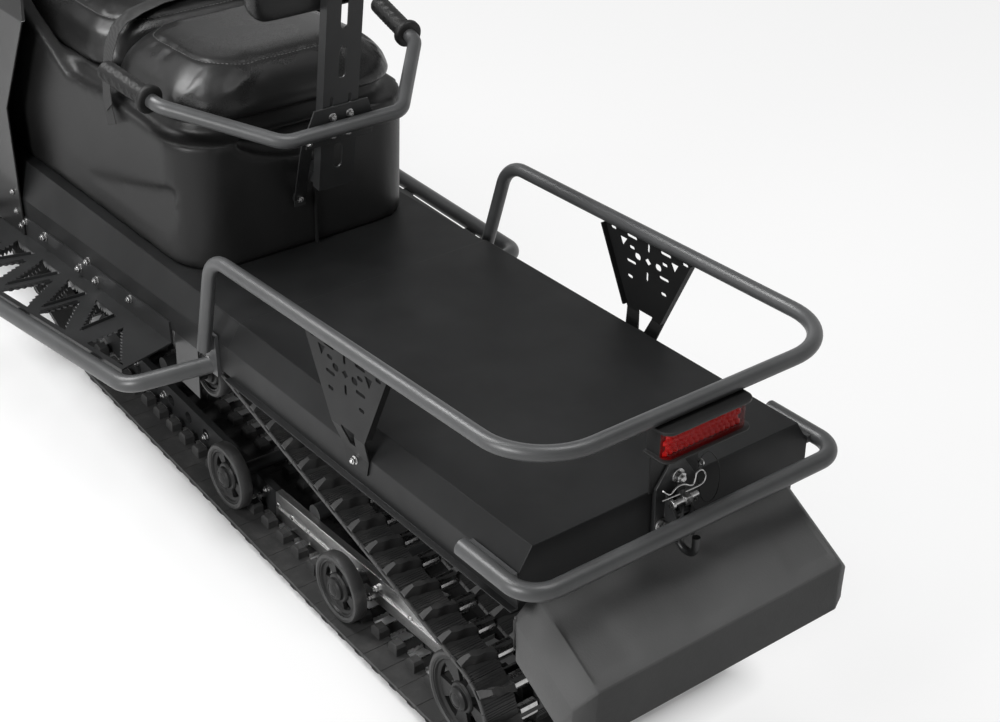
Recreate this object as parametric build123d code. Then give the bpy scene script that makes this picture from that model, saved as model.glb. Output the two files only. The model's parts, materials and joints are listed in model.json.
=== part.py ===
from build123d import *
import os
from math import radians, sin, tan

# A wide-track utility snowmobile with a long cargo deck, a two-up seat, twin skis and a plain dark finish.
# Lengths are millimetres. x points forward, y left and z up.
# Chassis pieces are drawn in a frame whose origin is the middle of the deck's rear edge, with z square to
# the deck. The parked machine sits a little tail up, so that frame is tilted and lifted onto the ground
# frame, where the track and the skis are drawn. At the end all moves to the middle of the footprint.

# Driving dimensions
TILT = 4.5                       # degrees that the deck falls towards the front
DECK_REAR_HEIGHT = 554.0         # deck's rear edge above the ground
DECK_HALF = 255.0                # half the flat width of the deck
TUNNEL_SIDE = 280.0              # half the width over the tunnel's sides
TUNNEL_LENGTH = 1990.0
TRACK_WIDTH = 500.0
TRACK_PITCH = 50.5
LUG_HEIGHT = 22.0
SKI_STANCE = 880.0
SKI_LENGTH = 1080.0
SKI_WIDTH = 180.0
BAR_SPAN = 760.0                 # handlebar, end to end
OVERRUN = 5.0                    # how far every cut passes the face it opens
SEAT_GAP = 0.3                   # between a soft piece and what it rests on

# Tunnel and deck
SHEET = 2.5                      # folded sheet of the tunnel
CHAMFER_DROP = 40.0
CHAMFER_DROP_FRONT = 84.0        # the fold falls away from the deck towards the front
SIDE_BOTTOM = -98.0              # bottom fold of the tunnel's sides
FLANGE = 11.0                    # width of the fold that turns outwards
REAR_SECTION = 775.0             # length of the rear section that slides over the tunnel
LAP = 75.0                       # how far the two sections overlap
REAR_PANEL_BOTTOM = -84.0
FRONT_DEPTH = -180.0             # the sides reach down to the running boards
FRONT_DEPTH_X = 985.0

# Cargo rack
RACK_TUBE = 24.0
RACK_HEIGHT_FRONT = 139.0
RACK_HEIGHT_REAR = 157.0
RACK_HALF_FRONT = 300.0
RACK_HALF_REAR = 290.0
RACK_REAR = -40.0                # centre line of the rear bar
RACK_CORNER = 105.0
RACK_TOP_FRONT = 768.0
RACK_FOOT_X = 830.0
RACK_FOOT_Z = -60.0
RACK_BEND = 62.0
FOOT_PLATE = 6.0
FOOT_WIDTH = 36.0
FOOT_BOTTOM = -112.0
FOOT_RISE = 26.0                 # how far the thick part of the foot reaches up the leg
GUSSET_SHEET = 3.0
GUSSET_REAR = 279.0
GUSSET_TOP_WIDTH = 218.0
GUSSET_BEND_WIDTH = 88.0         # at the deck's level, where the plate turns in to the tunnel
GUSSET_FOOT_WIDTH = 54.0
GUSSET_FOOT_TOP = -44.0
GUSSET_FOOT_BOTTOM = -70.0
GUSSET_FOLD = 9.0                # depth of the folds along the slanted edges
GUSSET_FOLD_FOOT = 6.0           # the folds stop short of the bend

# Rear bumper
BUMPER_TUBE = 27.0
BUMPER_Z = -40.0
BUMPER_FRONT = 100.0
BUMPER_REAR = -52.0
BUMPER_CORNER = 46.0
BUMPER_TAB = 6.0

# Snow flap
FLAP_WALL = 5.0
FLAP_HALF = 270.0
FLAP_TOP_X = 14.0
FLAP_TOP_Z = -96.0
FLAP_LIP_X = -126.0
FLAP_LIP_Z = -179.0
FLAP_LIP_DEPTH = 87.0
FLAP_EDGE = 36.0                 # width of the bevel down each side
FLAP_EDGE_DROP = 26.0

# Tail lamp
LAMP_WIDTH = 152.0
LAMP_HEIGHT = 50.0
LAMP_FRONT = -22.0
LAMP_BACK = -50.0
LAMP_CAP = 5.0                   # thickness of the cap over the lens
LAMP_HANG = 7.0                  # how far the cap passes the lens
LAMP_ROUND = 16.0
LENS_DEPTH = 14.0
LENS_ROUND = 11.0
LAMP_STEM_WIDTH = 94.0

# Tow hitch
HITCH_PLATE = 5.0
HITCH_GAP = 28.0
HITCH_REACH = 34.0
HITCH_TOP = 39.0
HITCH_TOP_WIDTH = 26.0
HITCH_WIDTH = 76.0
HITCH_SHOULDER = 3.0
HITCH_BOTTOM = -82.0
HITCH_CHEEK_TOP = -10.0
HOOK_TUBE = 12.0
HOOK_BOTTOM = -100.0
HOOK_REACH = 56.0
HOOK_TIP = -66.0
HOOK_BEND = 17.0

# Seat base and cushions
BASE_REAR = 944.0
BASE_FRONT = 1802.0
BASE_HALF = 243.0
BASE_FOOT_IN = 8.0               # the base is this much narrower at the deck
BASE_BOW = 5.0                   # how far the rear face bows out at its middle
BASE_BOW_RADIUS = 2400.0
BASE_CORNER = 92.0
BASE_TOP = 362.0
BASE_DIP = 176.0                 # lowest point of the rim, behind the post
BASE_DIP_HALF = 150.0
PLINTH_INSET = 34.0
BASE_SEAM = 3.0
BASE_SEAM_Y = -8.0
BASE_SEAM_TOP = 138.0
PANEL_DEPTH = 12.0               # of the pressed panel in each side
PANEL_REAR = 1012.0
PANEL_FRONT = 1341.0
PANEL_LOW = 50.0
PANEL_HIGH = 150.0
CUSHION_BOTTOM = 262.0
CUSHION_TOP = 350.0
CUSHION_HALF = 226.0
CUSHION_REAR = 952.0
CUSHION_SPLIT = 1290.0
CUSHION_FRONT = 1798.0

# Grab handle, backrest post and pad
GRAB_TUBE = 25.0
GRAB_BEND = 40.0
GRAB_REAR = 828.0
GRAB_REAR_HALF = 116.0
GRAB_REAR_Z = 266.0
GRAB_BEND_X = 985.0
GRAB_BEND_HALF = 256.0
GRAB_BEND_Z = 313.0
GRAB_END_X = 1127.0
GRAB_END_HALF = 277.0
GRAB_END_Z = 337.0
GRIP_LENGTH = 122.0
GRIP_DIAMETER = 34.0
GRIP_FLANGE = 50.0
GRIP_FLANGE_WIDTH = 9.0
GRAB_PLATE = 3.0
GRAB_PLATE_WIDTH = 132.0
GRAB_PLATE_TOP_WIDTH = 106.0
GRAB_PLATE_DEPTH = 70.0
POST_WIDTH = 70.0
POST_DEPTH = 20.0
POST_SHEET = 3.0
POST_BOTTOM = 140.0
POST_TOP = 640.0
POST_LEAN = 9.0
BRACE_WIDTH = 22.0
BRACE_Y = 62.0                   # where the brace leaves the handle's plate
BRACE_DROP = 22.0                # below the plate's middle
BRACE_FOOT_Y = 27.0              # and where it meets the seat base
BRACE_FOOT_Z = 98.0
BRACE_TAB = 26.0
PAD_HALF = 165.0
PAD_BOTTOM = 462.0
PAD_TOP = 690.0
PAD_DEPTH = 62.0

# Running boards
BOARD_SHEET = 3.0
BOARD_REAR = 950.0
BOARD_FRONT = 1700.0
BOARD_OUTER_REAR = 394.0
BOARD_OUTER_FRONT = 468.0
BOARD_Z = -122.0                 # at the rear end
BOARD_TILT = 2.5                 # degrees that a board falls forward from the deck's line
BOARD_UPSTAND = 40.0
BOARD_SLANT = 34.0               # the plate's rear end is further forward at the tunnel
BOARD_LIP = 14.0                 # fold down along the outer edge
BOARD_RIM = 10.0                 # outside the openings
BOARD_BAR = 26.0                 # between the tunnel and the openings, and across the inner tips
BOARD_TUBE = 30.0
BOARD_TUBE_GAP = 27.0            # tube's centre line beyond the plate's edge
BOARD_BEND = 45.0
BOARD_TUBE_END = 95.0            # how far beyond the board the tube reaches the tunnel again
BAYS = 4
BAY_START = 180.0                # from the board's rear end to the first bay's tip
BAY_PITCH_IN = 116.0
BAY_PITCH_OUT = 133.0
BAY_SPAN_IN = 82.0
BAY_SPAN_OUT = 94.0
BAY_WEB = 13.0                   # along the board, between an opening and the next tip
TOOTH_PITCH = 12.0
TOOTH_DEPTH = 5.0

# Track loop: places of what it wraps, in the ground frame
BELT = 8.0
WHEEL_RADIUS = 64.0
IDLER_RADIUS = 81.0
CARRIER_RADIUS = 50.0
SPROCKET_RADIUS = 62.0
RAIL_NOSE_SHARE = 0.307          # radius of the rail's nose, of the deck's height
IDLER_X = 164.0
IDLER_LIFT = 12.0                # rear idler's belt line above that of the road wheels
REAR_WHEEL_X = 512.0
FRONT_WHEEL_X = 880.0
RAIL_NOSE_X = 1395.0
CARRIER_X = 925.0
CARRIER_DROP = 179.4             # below the deck's line
DRIVE_X = 1868.0
DRIVE_DROP = 122.4
LUG_FOOT = 26.0
LUG_TIP = 12.0
LUG_ROOT = 3.0                   # how far a lug is sunk in the belt

# Rear skid
RAIL_Y = 171.0
RAIL_THICK = 14.0
RAIL_DEPTH = 58.0
WHEEL_WIDTH = 26.0
WHEEL_Y = 225.0
WHEEL_TYRE = 10.0
WHEEL_WEB = 8.0
WHEEL_HUB = 27.0
WHEEL_HUB_WIDTH = 34.0
WHEEL_WINDOWS = 5
WHEEL_WINDOW = 13.0
SHAFT = 24.0
HINGE_X = 800.0
SLOT_WIDTH = 11.0                # groove along the rear rails
SLOT_DEPTH = 3.5
RAIL_HOLE = 24.0
RAIL_HOLES = 6
RAIL_HOLE_START = 985.0
RAIL_HOLE_PITCH = 68.0

# Skid arms and shock absorbers
ARM_TUBE = 34.0
ARM_Y = 110.0
ARM_TOP_X = 1450.0
ARM_TOP_DROP = 126.2
ARM_LOW_X = 1240.0
ARM_LOW_Z = 108.0
REAR_ARM_X = 690.0
REAR_ARM_Z = 104.0
EYE = 40.0
EYE_GAP = 0.1
SHOCK_BODY = 44.0
SHOCK_SPRING = 66.0
SHOCK_ROD = 16.0
SPRING_TURNS = 7

# Drive axle
AXLE = 38.0
SPROCKET_WIDTH = 22.0
SPROCKET_TEETH = 8
SPROCKET_NOTCH = 20.0
SPROCKET_Y = (60.0, 171.0)

# Front body, in the chassis frame
PAN_REAR = 1990.0
PAN_WALL = 5.0
PAN_TOP = 60.0
NOSE = 2700.0
BODY_HALF = 330.0
HOOD_REAR = 1960.0
HOOD_HEIGHT = 440.0              # above the pan's top edge
HOOD_WALL = 4.0
HOOD_GAP = 6.0                   # round the hood's edges
PAN_DEPTH = 250.0
GRILLE_HALF = 120.0
GRILLE_LOW = 32.0                # above the parting line
GRILLE_PITCH = 14.0
GRILLE_SLOTS = 3
GRILLE_SLOT = 7.0
VENT_LENGTH = 70.0
VENT_SLOTS = 5
VENT_PITCH = 34.0
VENT_START = 2080.0
VENT_Z = 110.0                   # above the parting line
VENT_LEAN = 25.0
POD_REAR = 1972.0
POD_LENGTH = 92.0
POD_HALF = 82.0
POD_HEIGHT = 62.0
POD_SINK = 8.0                   # how far the pod's foot reaches into the hood's skin
POD_FACE = 6.0
HINGE_PIN = 10.0
HINGE_AHEAD = 15.0               # hinge line in front of the nose
HINGE_DROP = 10.0                # and below the parting line
HINGE_KNUCKLE = 18.0
HINGE_HALF = 60.0
HINGE_LUG = 9.0
ENGINE_SIZE = (400.0, 420.0, 330.0)
ENGINE_X = 2230.0
ENGINE_FLOOR = -112.0
ENGINE_BEAM = 36.0               # width of the two beams under the engine
CONSOLE_HALF = 175.0
CONSOLE_TOP = 478.0
COWL_WALL = 4.0
COWL_REAR = 1585.0
COWL_TOP_REAR = 1690.0
COWL_REAR_Z = 122.0
COWL_KNEE = 332.0                # where the panel turns in over the knees
COWL_KNEE_REAR = 1451.0
COWL_TOP = 442.0
SCREEN_WALL = 4.0
SCREEN_RADIUS = 430.0
SCREEN_FRONT = 2190.0
SCREEN_HALF_SHARE = 0.818        # of the body's half width
SCREEN_TOP = 900.0
SCREEN_FOOT = 250.0              # lowest point above the parting line
SCREEN_LEAN = 24.0
LAMP_BAND = (150.0, 215.0)       # low and high edge of the headlamp
LAMP_PROUD = 6.0
HEADLAMP_HALF = 170.0
FRONT_BUMPER_TUBE = 28.0
FRONT_BUMPER_X = 2748.0
FRONT_BUMPER_HALF = 215.0
FRONT_BUMPER_Z = 18.0
FRONT_BUMPER_RUN = 190.0

# Handlebar, in the chassis frame
STEER_LEAN = 36.0                # degrees from the chassis upright
STEER_X = 1790.0
STEER_Z = 610.0
STEER_POST = 30.0
STEER_REACH = 190.0
BAR_TUBE = 22.2
BAR_BEND = 33.0
BAR_CLAMP = 46.0
BAR_BEND_HALF = 140.0
BAR_RISE = 70.0
BAR_SWEEP = 90.0
BAR_GRIP = 34.0
BAR_GRIP_LENGTH = 125.0
BAR_FLANGE = 46.0
CONTROL_LENGTH = 52.0
CONTROL_DIAMETER = 40.0
LEVER_LENGTH = 120.0
LEVER_TUBE = 9.0
LEVER_STAND = 46.0

# Skis and legs, in the ground frame
LEG_X = 2330.0                   # where the steering axis passes the ski's pivot
LEG_Z = 96.0
RAKE = 18.0                      # degrees the leg leans back
LEG_TUBE = 38.0
LEG_LENGTH = 330.0
STRUT_TUBE = 58.0
STRUT_DROP = 354.0               # strut's lower end below the deck's rear height, along the leg
STRUT_LENGTH = 330.0
STRUT_ARMS = (32.0, 132.0)       # where along the strut its arms meet it
STRUT_ARM_TUBE = 34.0
STRUT_WEB = 10.0
LEG_CLEAR = 0.3
SKI_SHEET = 8.0
SKI_FLOOR = 18.0                 # ski's bottom above the runner's
RUNNER = 12.0
SKI_AHEAD_SHARE = 0.60           # of the ski's length, in front of its pivot
SKI_TIP_SHARE = 0.30
SKI_TAIL_SHARE = 0.08
SKI_ROUND = 80.0                 # of the tip's corners in plan
SKI_TAIL_ROUND = 45.0
SKI_RIB = 10.0
LOOP_BEND = 45.0
LOOP_AHEAD = 130.0               # how far the loop's top stands in front of its foot
LOOP_HEIGHT = 128.0
SKI_TIP_RISE = 190.0
SKI_TAIL_RISE = 30.0
SADDLE_LENGTH = 190.0
SADDLE_WIDTH = 54.0
SADDLE_WALL = 6.0
SADDLE_HEIGHT = 92.0
STEER_ARM = 100.0
STEER_ARM_DROP = 394.0           # steering arm below the deck's rear height
STEER_ARM_THICK = 12.0
STEER_ARM_WIDTH = 30.0
TIE_TUBE = 16.0
TIE_EYE = 28.0
TIE_LENGTH = 215.0
TIE_GAP = 0.6                    # between the tie rod's eye and the steering arm
TIE_CLEAR = 7.0
LOOP_TUBE = 16.0


def on_chassis(shape):
    """Places a shape drawn in the tilted deck frame on the ground frame."""
    return Pos(0, 0, DECK_REAR_HEIGHT) * Rot(0, TILT, 0) * shape


def deck_height(x):
    """Height of the deck's line above the ground."""
    return DECK_REAR_HEIGHT - x * sin(radians(TILT))


# Places that follow the deck, in the ground frame
CARRIER_Z = deck_height(CARRIER_X) - CARRIER_DROP
DRIVE_Z = deck_height(DRIVE_X) - DRIVE_DROP
ARM_TOP_Z = deck_height(ARM_TOP_X) - ARM_TOP_DROP
RAIL_NOSE_RADIUS = RAIL_NOSE_SHARE * DECK_REAR_HEIGHT
STEER_ARM_AT = DECK_REAR_HEIGHT - STEER_ARM_DROP
STRUT_START = DECK_REAR_HEIGHT - STRUT_DROP


def on_board(shape):
    """Places a shape drawn on the running boards' plane: x from their rear end, z=0 on their top."""
    return Pos(BOARD_REAR, 0, BOARD_Z) * Rot(0, BOARD_TILT, 0) * shape


def board_line(x):
    """Height of the boards' top in the chassis frame."""
    return BOARD_Z - (x - BOARD_REAR) * tan(radians(BOARD_TILT))


def both_sides(shape):
    return [shape, mirror(shape, about=Plane.XZ)]


def polygon(points):
    return make_face(Polyline(*points, close=True))


def rounded(points, radius):
    return make_face(FilletPolyline(*points, radius=radius, close=True))


def across(face, y_low, y_high):
    """A face drawn in x and z, made solid from y_low to y_high."""
    return extrude(Plane.XZ.offset(-y_high) * face, amount=y_high - y_low)


def along(face, x_low, x_high):
    """A face drawn in y and z, made solid from x_low to x_high."""
    return extrude(Plane.YZ.offset(x_low) * face, amount=x_high - x_low)


def upright(face, z_low, z_high):
    """A face drawn in x and y, made solid from z_low to z_high."""
    return extrude(Plane.XY.offset(z_low) * face, amount=z_high - z_low)


def block(x, y, z):
    """A box between the given (low, high) pairs."""
    size = (x[1] - x[0], y[1] - y[0], z[1] - z[0])
    return Pos((x[0] + x[1]) / 2, (y[0] + y[1]) / 2, (z[0] + z[1]) / 2) * Box(*size)


def rod(start, end, diameter):
    start, end = Vector(*start), Vector(*end)
    axis = end - start
    return extrude(Plane(origin=start, z_dir=axis) * Circle(diameter / 2), amount=axis.length)


def cross_rod(x, z, y_low, y_high, diameter):
    return rod((x, y_low, z), (x, y_high, z), diameter)


def tube(points, radius, diameter):
    path = FilletPolyline(*points, radius=radius)
    section = Plane(origin=path @ 0, z_dir=path % 0) * Circle(diameter / 2)
    return sweep(section, path=path)


def inset(points, wall):
    """The corners of a counter-clockwise outline, moved inwards by one wall."""
    moved = []
    for before, at, after in zip(points[-1:] + points[:-1], points, points[1:] + points[:1]):
        into = (Vector(*at) - Vector(*before)).normalized()
        out = (Vector(*after) - Vector(*at)).normalized()
        side_in = Vector(-into.Y, into.X)
        side_out = Vector(-out.Y, out.X)
        corner = Vector(*at) + (side_in + side_out) * (wall / (1 + side_in.dot(side_out)))
        moved.append((corner.X, corner.Y))
    return moved


def channel_outline(bottom, drop):
    return [
        (-TUNNEL_SIDE, bottom), (TUNNEL_SIDE, bottom), (TUNNEL_SIDE, -drop),
        (DECK_HALF, 0), (-DECK_HALF, 0), (-TUNNEL_SIDE, -drop),
    ]


def channel(outline, wall, x_low, x_high):
    """A folded channel, open below."""
    inner = inset(outline, wall)
    below = outline[0][1] - OVERRUN
    inner[0], inner[1] = (inner[0][0], below), (inner[1][0], below)
    return along(polygon(outline) - polygon(inner), x_low, x_high)


def flange(side, bottom, x_low, x_high):
    return block((x_low, x_high), (side - SHEET, side + FLANGE), (bottom, bottom + SHEET))


def tunnel():
    """The front channel: it fits inside the rear section over the lap and stands on the boards' line."""
    start = REAR_SECTION - LAP
    outer, inner = [], []
    for x, drop in ((start, CHAMFER_DROP), (TUNNEL_LENGTH, CHAMFER_DROP_FRONT)):
        outline = inset(channel_outline(FRONT_DEPTH, drop), SHEET)
        outer.append(Plane.YZ.offset(x) * polygon(outline))
        hollow = inset(outline, SHEET)
        below = FRONT_DEPTH - OVERRUN
        hollow[0], hollow[1] = (hollow[0][0], below), (hollow[1][0], below)
        inner.append(Plane.YZ.offset(x) * polygon(hollow))
    body = loft(outer, ruled=True) - loft(inner, ruled=True)
    width = (-TUNNEL_SIDE, TUNNEL_SIDE)
    body -= block((start - OVERRUN, FRONT_DEPTH_X), width, (FRONT_DEPTH - OVERRUN, SIDE_BOTTOM))
    return body - on_board(block((0, TUNNEL_LENGTH), width, (2 * FRONT_DEPTH, -BOARD_SHEET)))


def tunnel_rear():
    """The rear channel, with its bottom folds and the panel that closes its tail."""
    body = channel(channel_outline(SIDE_BOTTOM, CHAMFER_DROP), SHEET, 0, REAR_SECTION)
    for fold in both_sides(flange(TUNNEL_SIDE, SIDE_BOTTOM, 0, REAR_SECTION)):
        body += fold
    outline = channel_outline(SIDE_BOTTOM, CHAMFER_DROP)
    panel = along(polygon(inset(outline, SHEET)), 0, SHEET)
    width = (-TUNNEL_SIDE, TUNNEL_SIDE)
    panel -= block((-OVERRUN, SHEET + OVERRUN), width, (SIDE_BOTTOM, REAR_PANEL_BOTTOM))
    return body + panel


def rail_height(x):
    """Height of the rack's side rail along its length."""
    share = (x - RACK_REAR) / (RACK_TOP_FRONT - RACK_REAR)
    return RACK_HEIGHT_REAR + share * (RACK_HEIGHT_FRONT - RACK_HEIGHT_REAR)


def rack():
    side = (RACK_TOP_FRONT, RACK_HALF_FRONT, RACK_HEIGHT_FRONT)
    corner = (RACK_REAR, RACK_HALF_REAR, RACK_HEIGHT_REAR)
    wall = TUNNEL_SIDE - SHEET
    centre = wall + FOOT_PLATE + RACK_TUBE / 2
    foot = (RACK_FOOT_X, centre, RACK_FOOT_Z)
    half = [foot, side, corner]
    path = half + [(x, -y, z) for x, y, z in reversed(half)]
    loop = tube(path, [RACK_BEND, RACK_CORNER, RACK_CORNER, RACK_BEND], RACK_TUBE)
    span = (RACK_FOOT_X - FOOT_WIDTH / 2, RACK_FOOT_X + FOOT_WIDTH / 2)
    plate = block(span, (wall, wall + FOOT_PLATE), (FOOT_BOTTOM, RACK_FOOT_Z + FOOT_RISE))
    plate += block((RACK_FOOT_X - RACK_TUBE / 2, RACK_FOOT_X + RACK_TUBE / 2), (wall, centre),
                   (RACK_FOOT_Z, RACK_FOOT_Z + FOOT_RISE))
    for foot_plate in both_sides(plate):
        loop += foot_plate
    return loop


def gusset_outline():
    """Corners in x and z, from the top rear one down and round."""
    middle = GUSSET_REAR + GUSSET_TOP_WIDTH / 2
    front = GUSSET_REAR + GUSSET_TOP_WIDTH
    under = RACK_TUBE / 2 + SEAT_GAP
    bend, foot = GUSSET_BEND_WIDTH / 2, GUSSET_FOOT_WIDTH / 2
    return [
        (GUSSET_REAR, rail_height(GUSSET_REAR) - under), (middle - bend, 0),
        (middle - foot, GUSSET_FOOT_BOTTOM), (middle + foot, GUSSET_FOOT_BOTTOM),
        (middle + bend, 0), (front, rail_height(front) - under),
    ]


# Slots of a gusset. Columns, shares of its top width but for the last: distance from its middle, height,
# length, width, degrees turned
GUSSET_SLOT_SHARES = [
    (-0.400, 0.596, 0.064, 0.028, 0), (-0.188, 0.596, 0.119, 0.028, 0),
    (0.188, 0.596, 0.119, 0.028, 0), (0.400, 0.596, 0.064, 0.028, 0),
    (-0.183, 0.509, 0.064, 0.030, 0), (0.183, 0.509, 0.064, 0.030, 0),
    (-0.115, 0.459, 0.072, 0.055, 0), (0.115, 0.459, 0.072, 0.055, 0),
    (0.000, 0.573, 0.073, 0.028, 90), (0.000, 0.335, 0.078, 0.028, 90),
    (-0.183, 0.390, 0.110, 0.028, 0), (0.183, 0.390, 0.110, 0.028, 0),
    (-0.188, 0.264, 0.064, 0.030, 0), (0.188, 0.264, 0.064, 0.030, 0),
]

# Cornered holes of a gusset: for each corner its distance from the middle and its height, as such shares
GUSSET_HOLE_SHARES = [
    [(-0.330, 0.561), (-0.238, 0.561), (-0.289, 0.482)],
    [(0.238, 0.561), (0.330, 0.561), (0.289, 0.482)],
    [(0.000, 0.490), (0.037, 0.459), (0.000, 0.427), (-0.037, 0.459)],
    [(-0.083, 0.023), (0.083, 0.023), (0.034, -0.120), (-0.034, -0.120)],
]


def gussets():
    """One perforated plate each side, hung from the rail, bent in and bolted flat on the tunnel."""
    inner = (RACK_HALF_REAR + RACK_HALF_FRONT - GUSSET_SHEET) / 2
    outer = inner + GUSSET_SHEET
    top = rail_height(GUSSET_REAR)
    wall = TUNNEL_SIDE
    section = [(inner, top), (inner, 0), (wall, GUSSET_FOOT_TOP), (wall, GUSSET_FOOT_BOTTOM),
               (wall + GUSSET_SHEET, GUSSET_FOOT_BOTTOM), (wall + GUSSET_SHEET, GUSSET_FOOT_TOP), (outer, 0),
               (outer, top)]
    outline = gusset_outline()
    plate = along(polygon(section), GUSSET_REAR, GUSSET_REAR + GUSSET_TOP_WIDTH)
    plate &= across(polygon(outline), wall - OVERRUN, outer + OVERRUN)
    for low, high, step in ((outline[1], outline[0], GUSSET_SHEET), (outline[4], outline[5], -GUSSET_SHEET)):
        share = GUSSET_FOLD_FOOT / high[1]
        foot = (low[0] + share * (high[0] - low[0]), GUSSET_FOLD_FOOT)
        fold = [foot, (foot[0] + step, foot[1]), (high[0] + step, high[1]), high]
        plate += across(polygon(fold), inner - GUSSET_FOLD, inner)
    middle = GUSSET_REAR + GUSSET_TOP_WIDTH / 2
    for ahead, height, length, width, turn in GUSSET_SLOT_SHARES:
        slot = SlotOverall(length * GUSSET_TOP_WIDTH, width * GUSSET_TOP_WIDTH, rotation=turn)
        spot = Pos(middle + ahead * GUSSET_TOP_WIDTH, height * GUSSET_TOP_WIDTH)
        plate -= across(spot * slot, wall, outer + OVERRUN)
    for corners in GUSSET_HOLE_SHARES:
        hole = [(middle + ahead * GUSSET_TOP_WIDTH, height * GUSSET_TOP_WIDTH) for ahead, height in corners]
        plate -= across(polygon(hole), wall, outer + OVERRUN)
    return Compound(both_sides(plate))


def rear_bumper():
    reach = TUNNEL_SIDE + BUMPER_TAB + BUMPER_TUBE / 2
    half = [(BUMPER_FRONT, reach, BUMPER_Z), (BUMPER_REAR, reach, BUMPER_Z)]
    hoop = tube(half + [(x, -y, z) for x, y, z in reversed(half)], BUMPER_CORNER, BUMPER_TUBE)
    tab = block((0, BUMPER_FRONT), (TUNNEL_SIDE, reach), (BUMPER_Z - BUMPER_TAB, BUMPER_Z + BUMPER_TAB))
    for side_tab in both_sides(tab):
        hoop += side_tab
    return hoop


def snow_flap():
    """A moulded shell: a sloping panel, a lip that hangs down, and a bevel along each side."""
    bottom = FLAP_LIP_Z - FLAP_LIP_DEPTH
    profile = [(FLAP_TOP_X, FLAP_TOP_Z), (FLAP_LIP_X, FLAP_LIP_Z), (FLAP_LIP_X, bottom),
               (FLAP_TOP_X, bottom)]
    outer = across(polygon(profile), -FLAP_HALF, FLAP_HALF)
    edges = []
    for edge in outer.edges():
        middle = edge @ 0.5
        at_side = abs(abs(middle.Y) - FLAP_HALF) < SHEET
        if at_side and abs(middle.X - FLAP_TOP_X) > SHEET and middle.Z > bottom + SHEET:
            edges.append(edge)
    outer = chamfer(edges, (FLAP_EDGE + FLAP_EDGE_DROP) / 2)
    low = outer.faces().sort_by(Axis.Z)[0]
    front = outer.faces().sort_by(Axis.X)[-1]
    shell = offset(outer, amount=-FLAP_WALL, openings=[low, front])
    spare = [(FLAP_LIP_X + FLAP_WALL, bottom - OVERRUN), (FLAP_TOP_X + OVERRUN, bottom - OVERRUN),
             (FLAP_TOP_X + OVERRUN, FLAP_TOP_Z - FLAP_EDGE)]
    shell -= across(polygon(spare), -FLAP_HALF - OVERRUN, FLAP_HALF + OVERRUN)
    x_low = SHEET + SEAT_GAP
    return shell + block((x_low, x_low + FLAP_WALL), (-FLAP_HALF, FLAP_HALF),
                         (FLAP_TOP_Z - 2 * FLAP_WALL, FLAP_TOP_Z + FLAP_EDGE))


def tail_lamp():
    """The lamp sits under the rack's rear bar, on a bent sheet that rises from the rear panel."""
    half = LAMP_WIDTH / 2
    top = RACK_HEIGHT_REAR - RACK_TUBE / 2 - SEAT_GAP
    low = top - LAMP_HEIGHT
    housing = block((LAMP_BACK, LAMP_FRONT), (-half, half), (low, top))
    back = LAMP_BACK - LENS_DEPTH - LAMP_HANG
    side = half + LAMP_HANG
    plan = rounded([(back, -side), (LAMP_FRONT, -side), (LAMP_FRONT, side), (back, side)],
                   [LAMP_ROUND, SHEET, SHEET, LAMP_ROUND])
    housing += upright(plan, top - LAMP_CAP, top) + upright(plan, low, low + SHEET)
    wing, narrow = LAMP_STEM_WIDTH / 2, HITCH_WIDTH / 2
    stem = block((-SHEET, 0), (-wing, wing), (-SHEET, low + SHEET))
    stem += block((-SHEET, 0), (-narrow, narrow), (HITCH_BOTTOM, 0))
    stem += block((LAMP_FRONT, 0), (-wing, wing), (low, low + SHEET))
    lens = block((LAMP_BACK - LENS_DEPTH, LAMP_BACK), (-half, half), (low + SHEET, top - LAMP_CAP))
    lens = fillet(lens.edges().filter_by(Axis.Z).group_by(Axis.X)[0], LENS_ROUND)
    return housing + stem, lens


def hitch():
    """A tapered plate on the lamp's sheet with two cheeks, and a hook held between them."""
    half = HITCH_GAP / 2
    face = -SHEET - HITCH_PLATE
    tip, wide = HITCH_TOP_WIDTH / 2, HITCH_WIDTH / 2
    outline = [(-wide, HITCH_BOTTOM), (wide, HITCH_BOTTOM), (wide, HITCH_SHOULDER), (tip, HITCH_TOP),
               (-tip, HITCH_TOP), (-wide, HITCH_SHOULDER)]
    bracket = along(polygon(outline), face, -SHEET)
    cheek = [(face, HITCH_CHEEK_TOP), (face, HITCH_BOTTOM), (-HITCH_REACH, HITCH_BOTTOM),
             (-HITCH_REACH, HITCH_BOTTOM / 2)]
    for side in both_sides(across(polygon(cheek), half, half + HITCH_PLATE)):
        bracket += side
    middle = face - HOOK_TUBE
    hook = tube([(middle, 0, 0), (middle, 0, HOOK_BOTTOM), (-HOOK_REACH, 0, HOOK_BOTTOM),
                 (-HOOK_REACH, 0, HOOK_TIP)], HOOK_BEND, HOOK_TUBE)
    hook += cross_rod(middle, HITCH_BOTTOM / 2, -half, half, HOOK_TUBE)
    return bracket, hook


def base_plan(grow):
    """Plan of the seat base, larger all round by grow, with a slightly bowed rear."""
    half = BASE_HALF + grow
    rear = BASE_REAR - grow
    corners = [(rear + BASE_BOW, -half), (BASE_FRONT, -half), (BASE_FRONT, half), (rear + BASE_BOW, half),
               (rear, 0)]
    return rounded(corners, [BASE_CORNER, SHEET, SHEET, BASE_CORNER, BASE_BOW_RADIUS])


# Rim of the seat base from rear to front. Columns, both shares: distance along the base, height
RIM_SHARES = [
    (0.000, 0.633), (0.340, 0.688), (0.450, 0.660), (0.520, 0.660), (0.606, 0.760), (0.694, 0.859),
    (0.800, 1.000), (1.000, 1.000),
]


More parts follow.
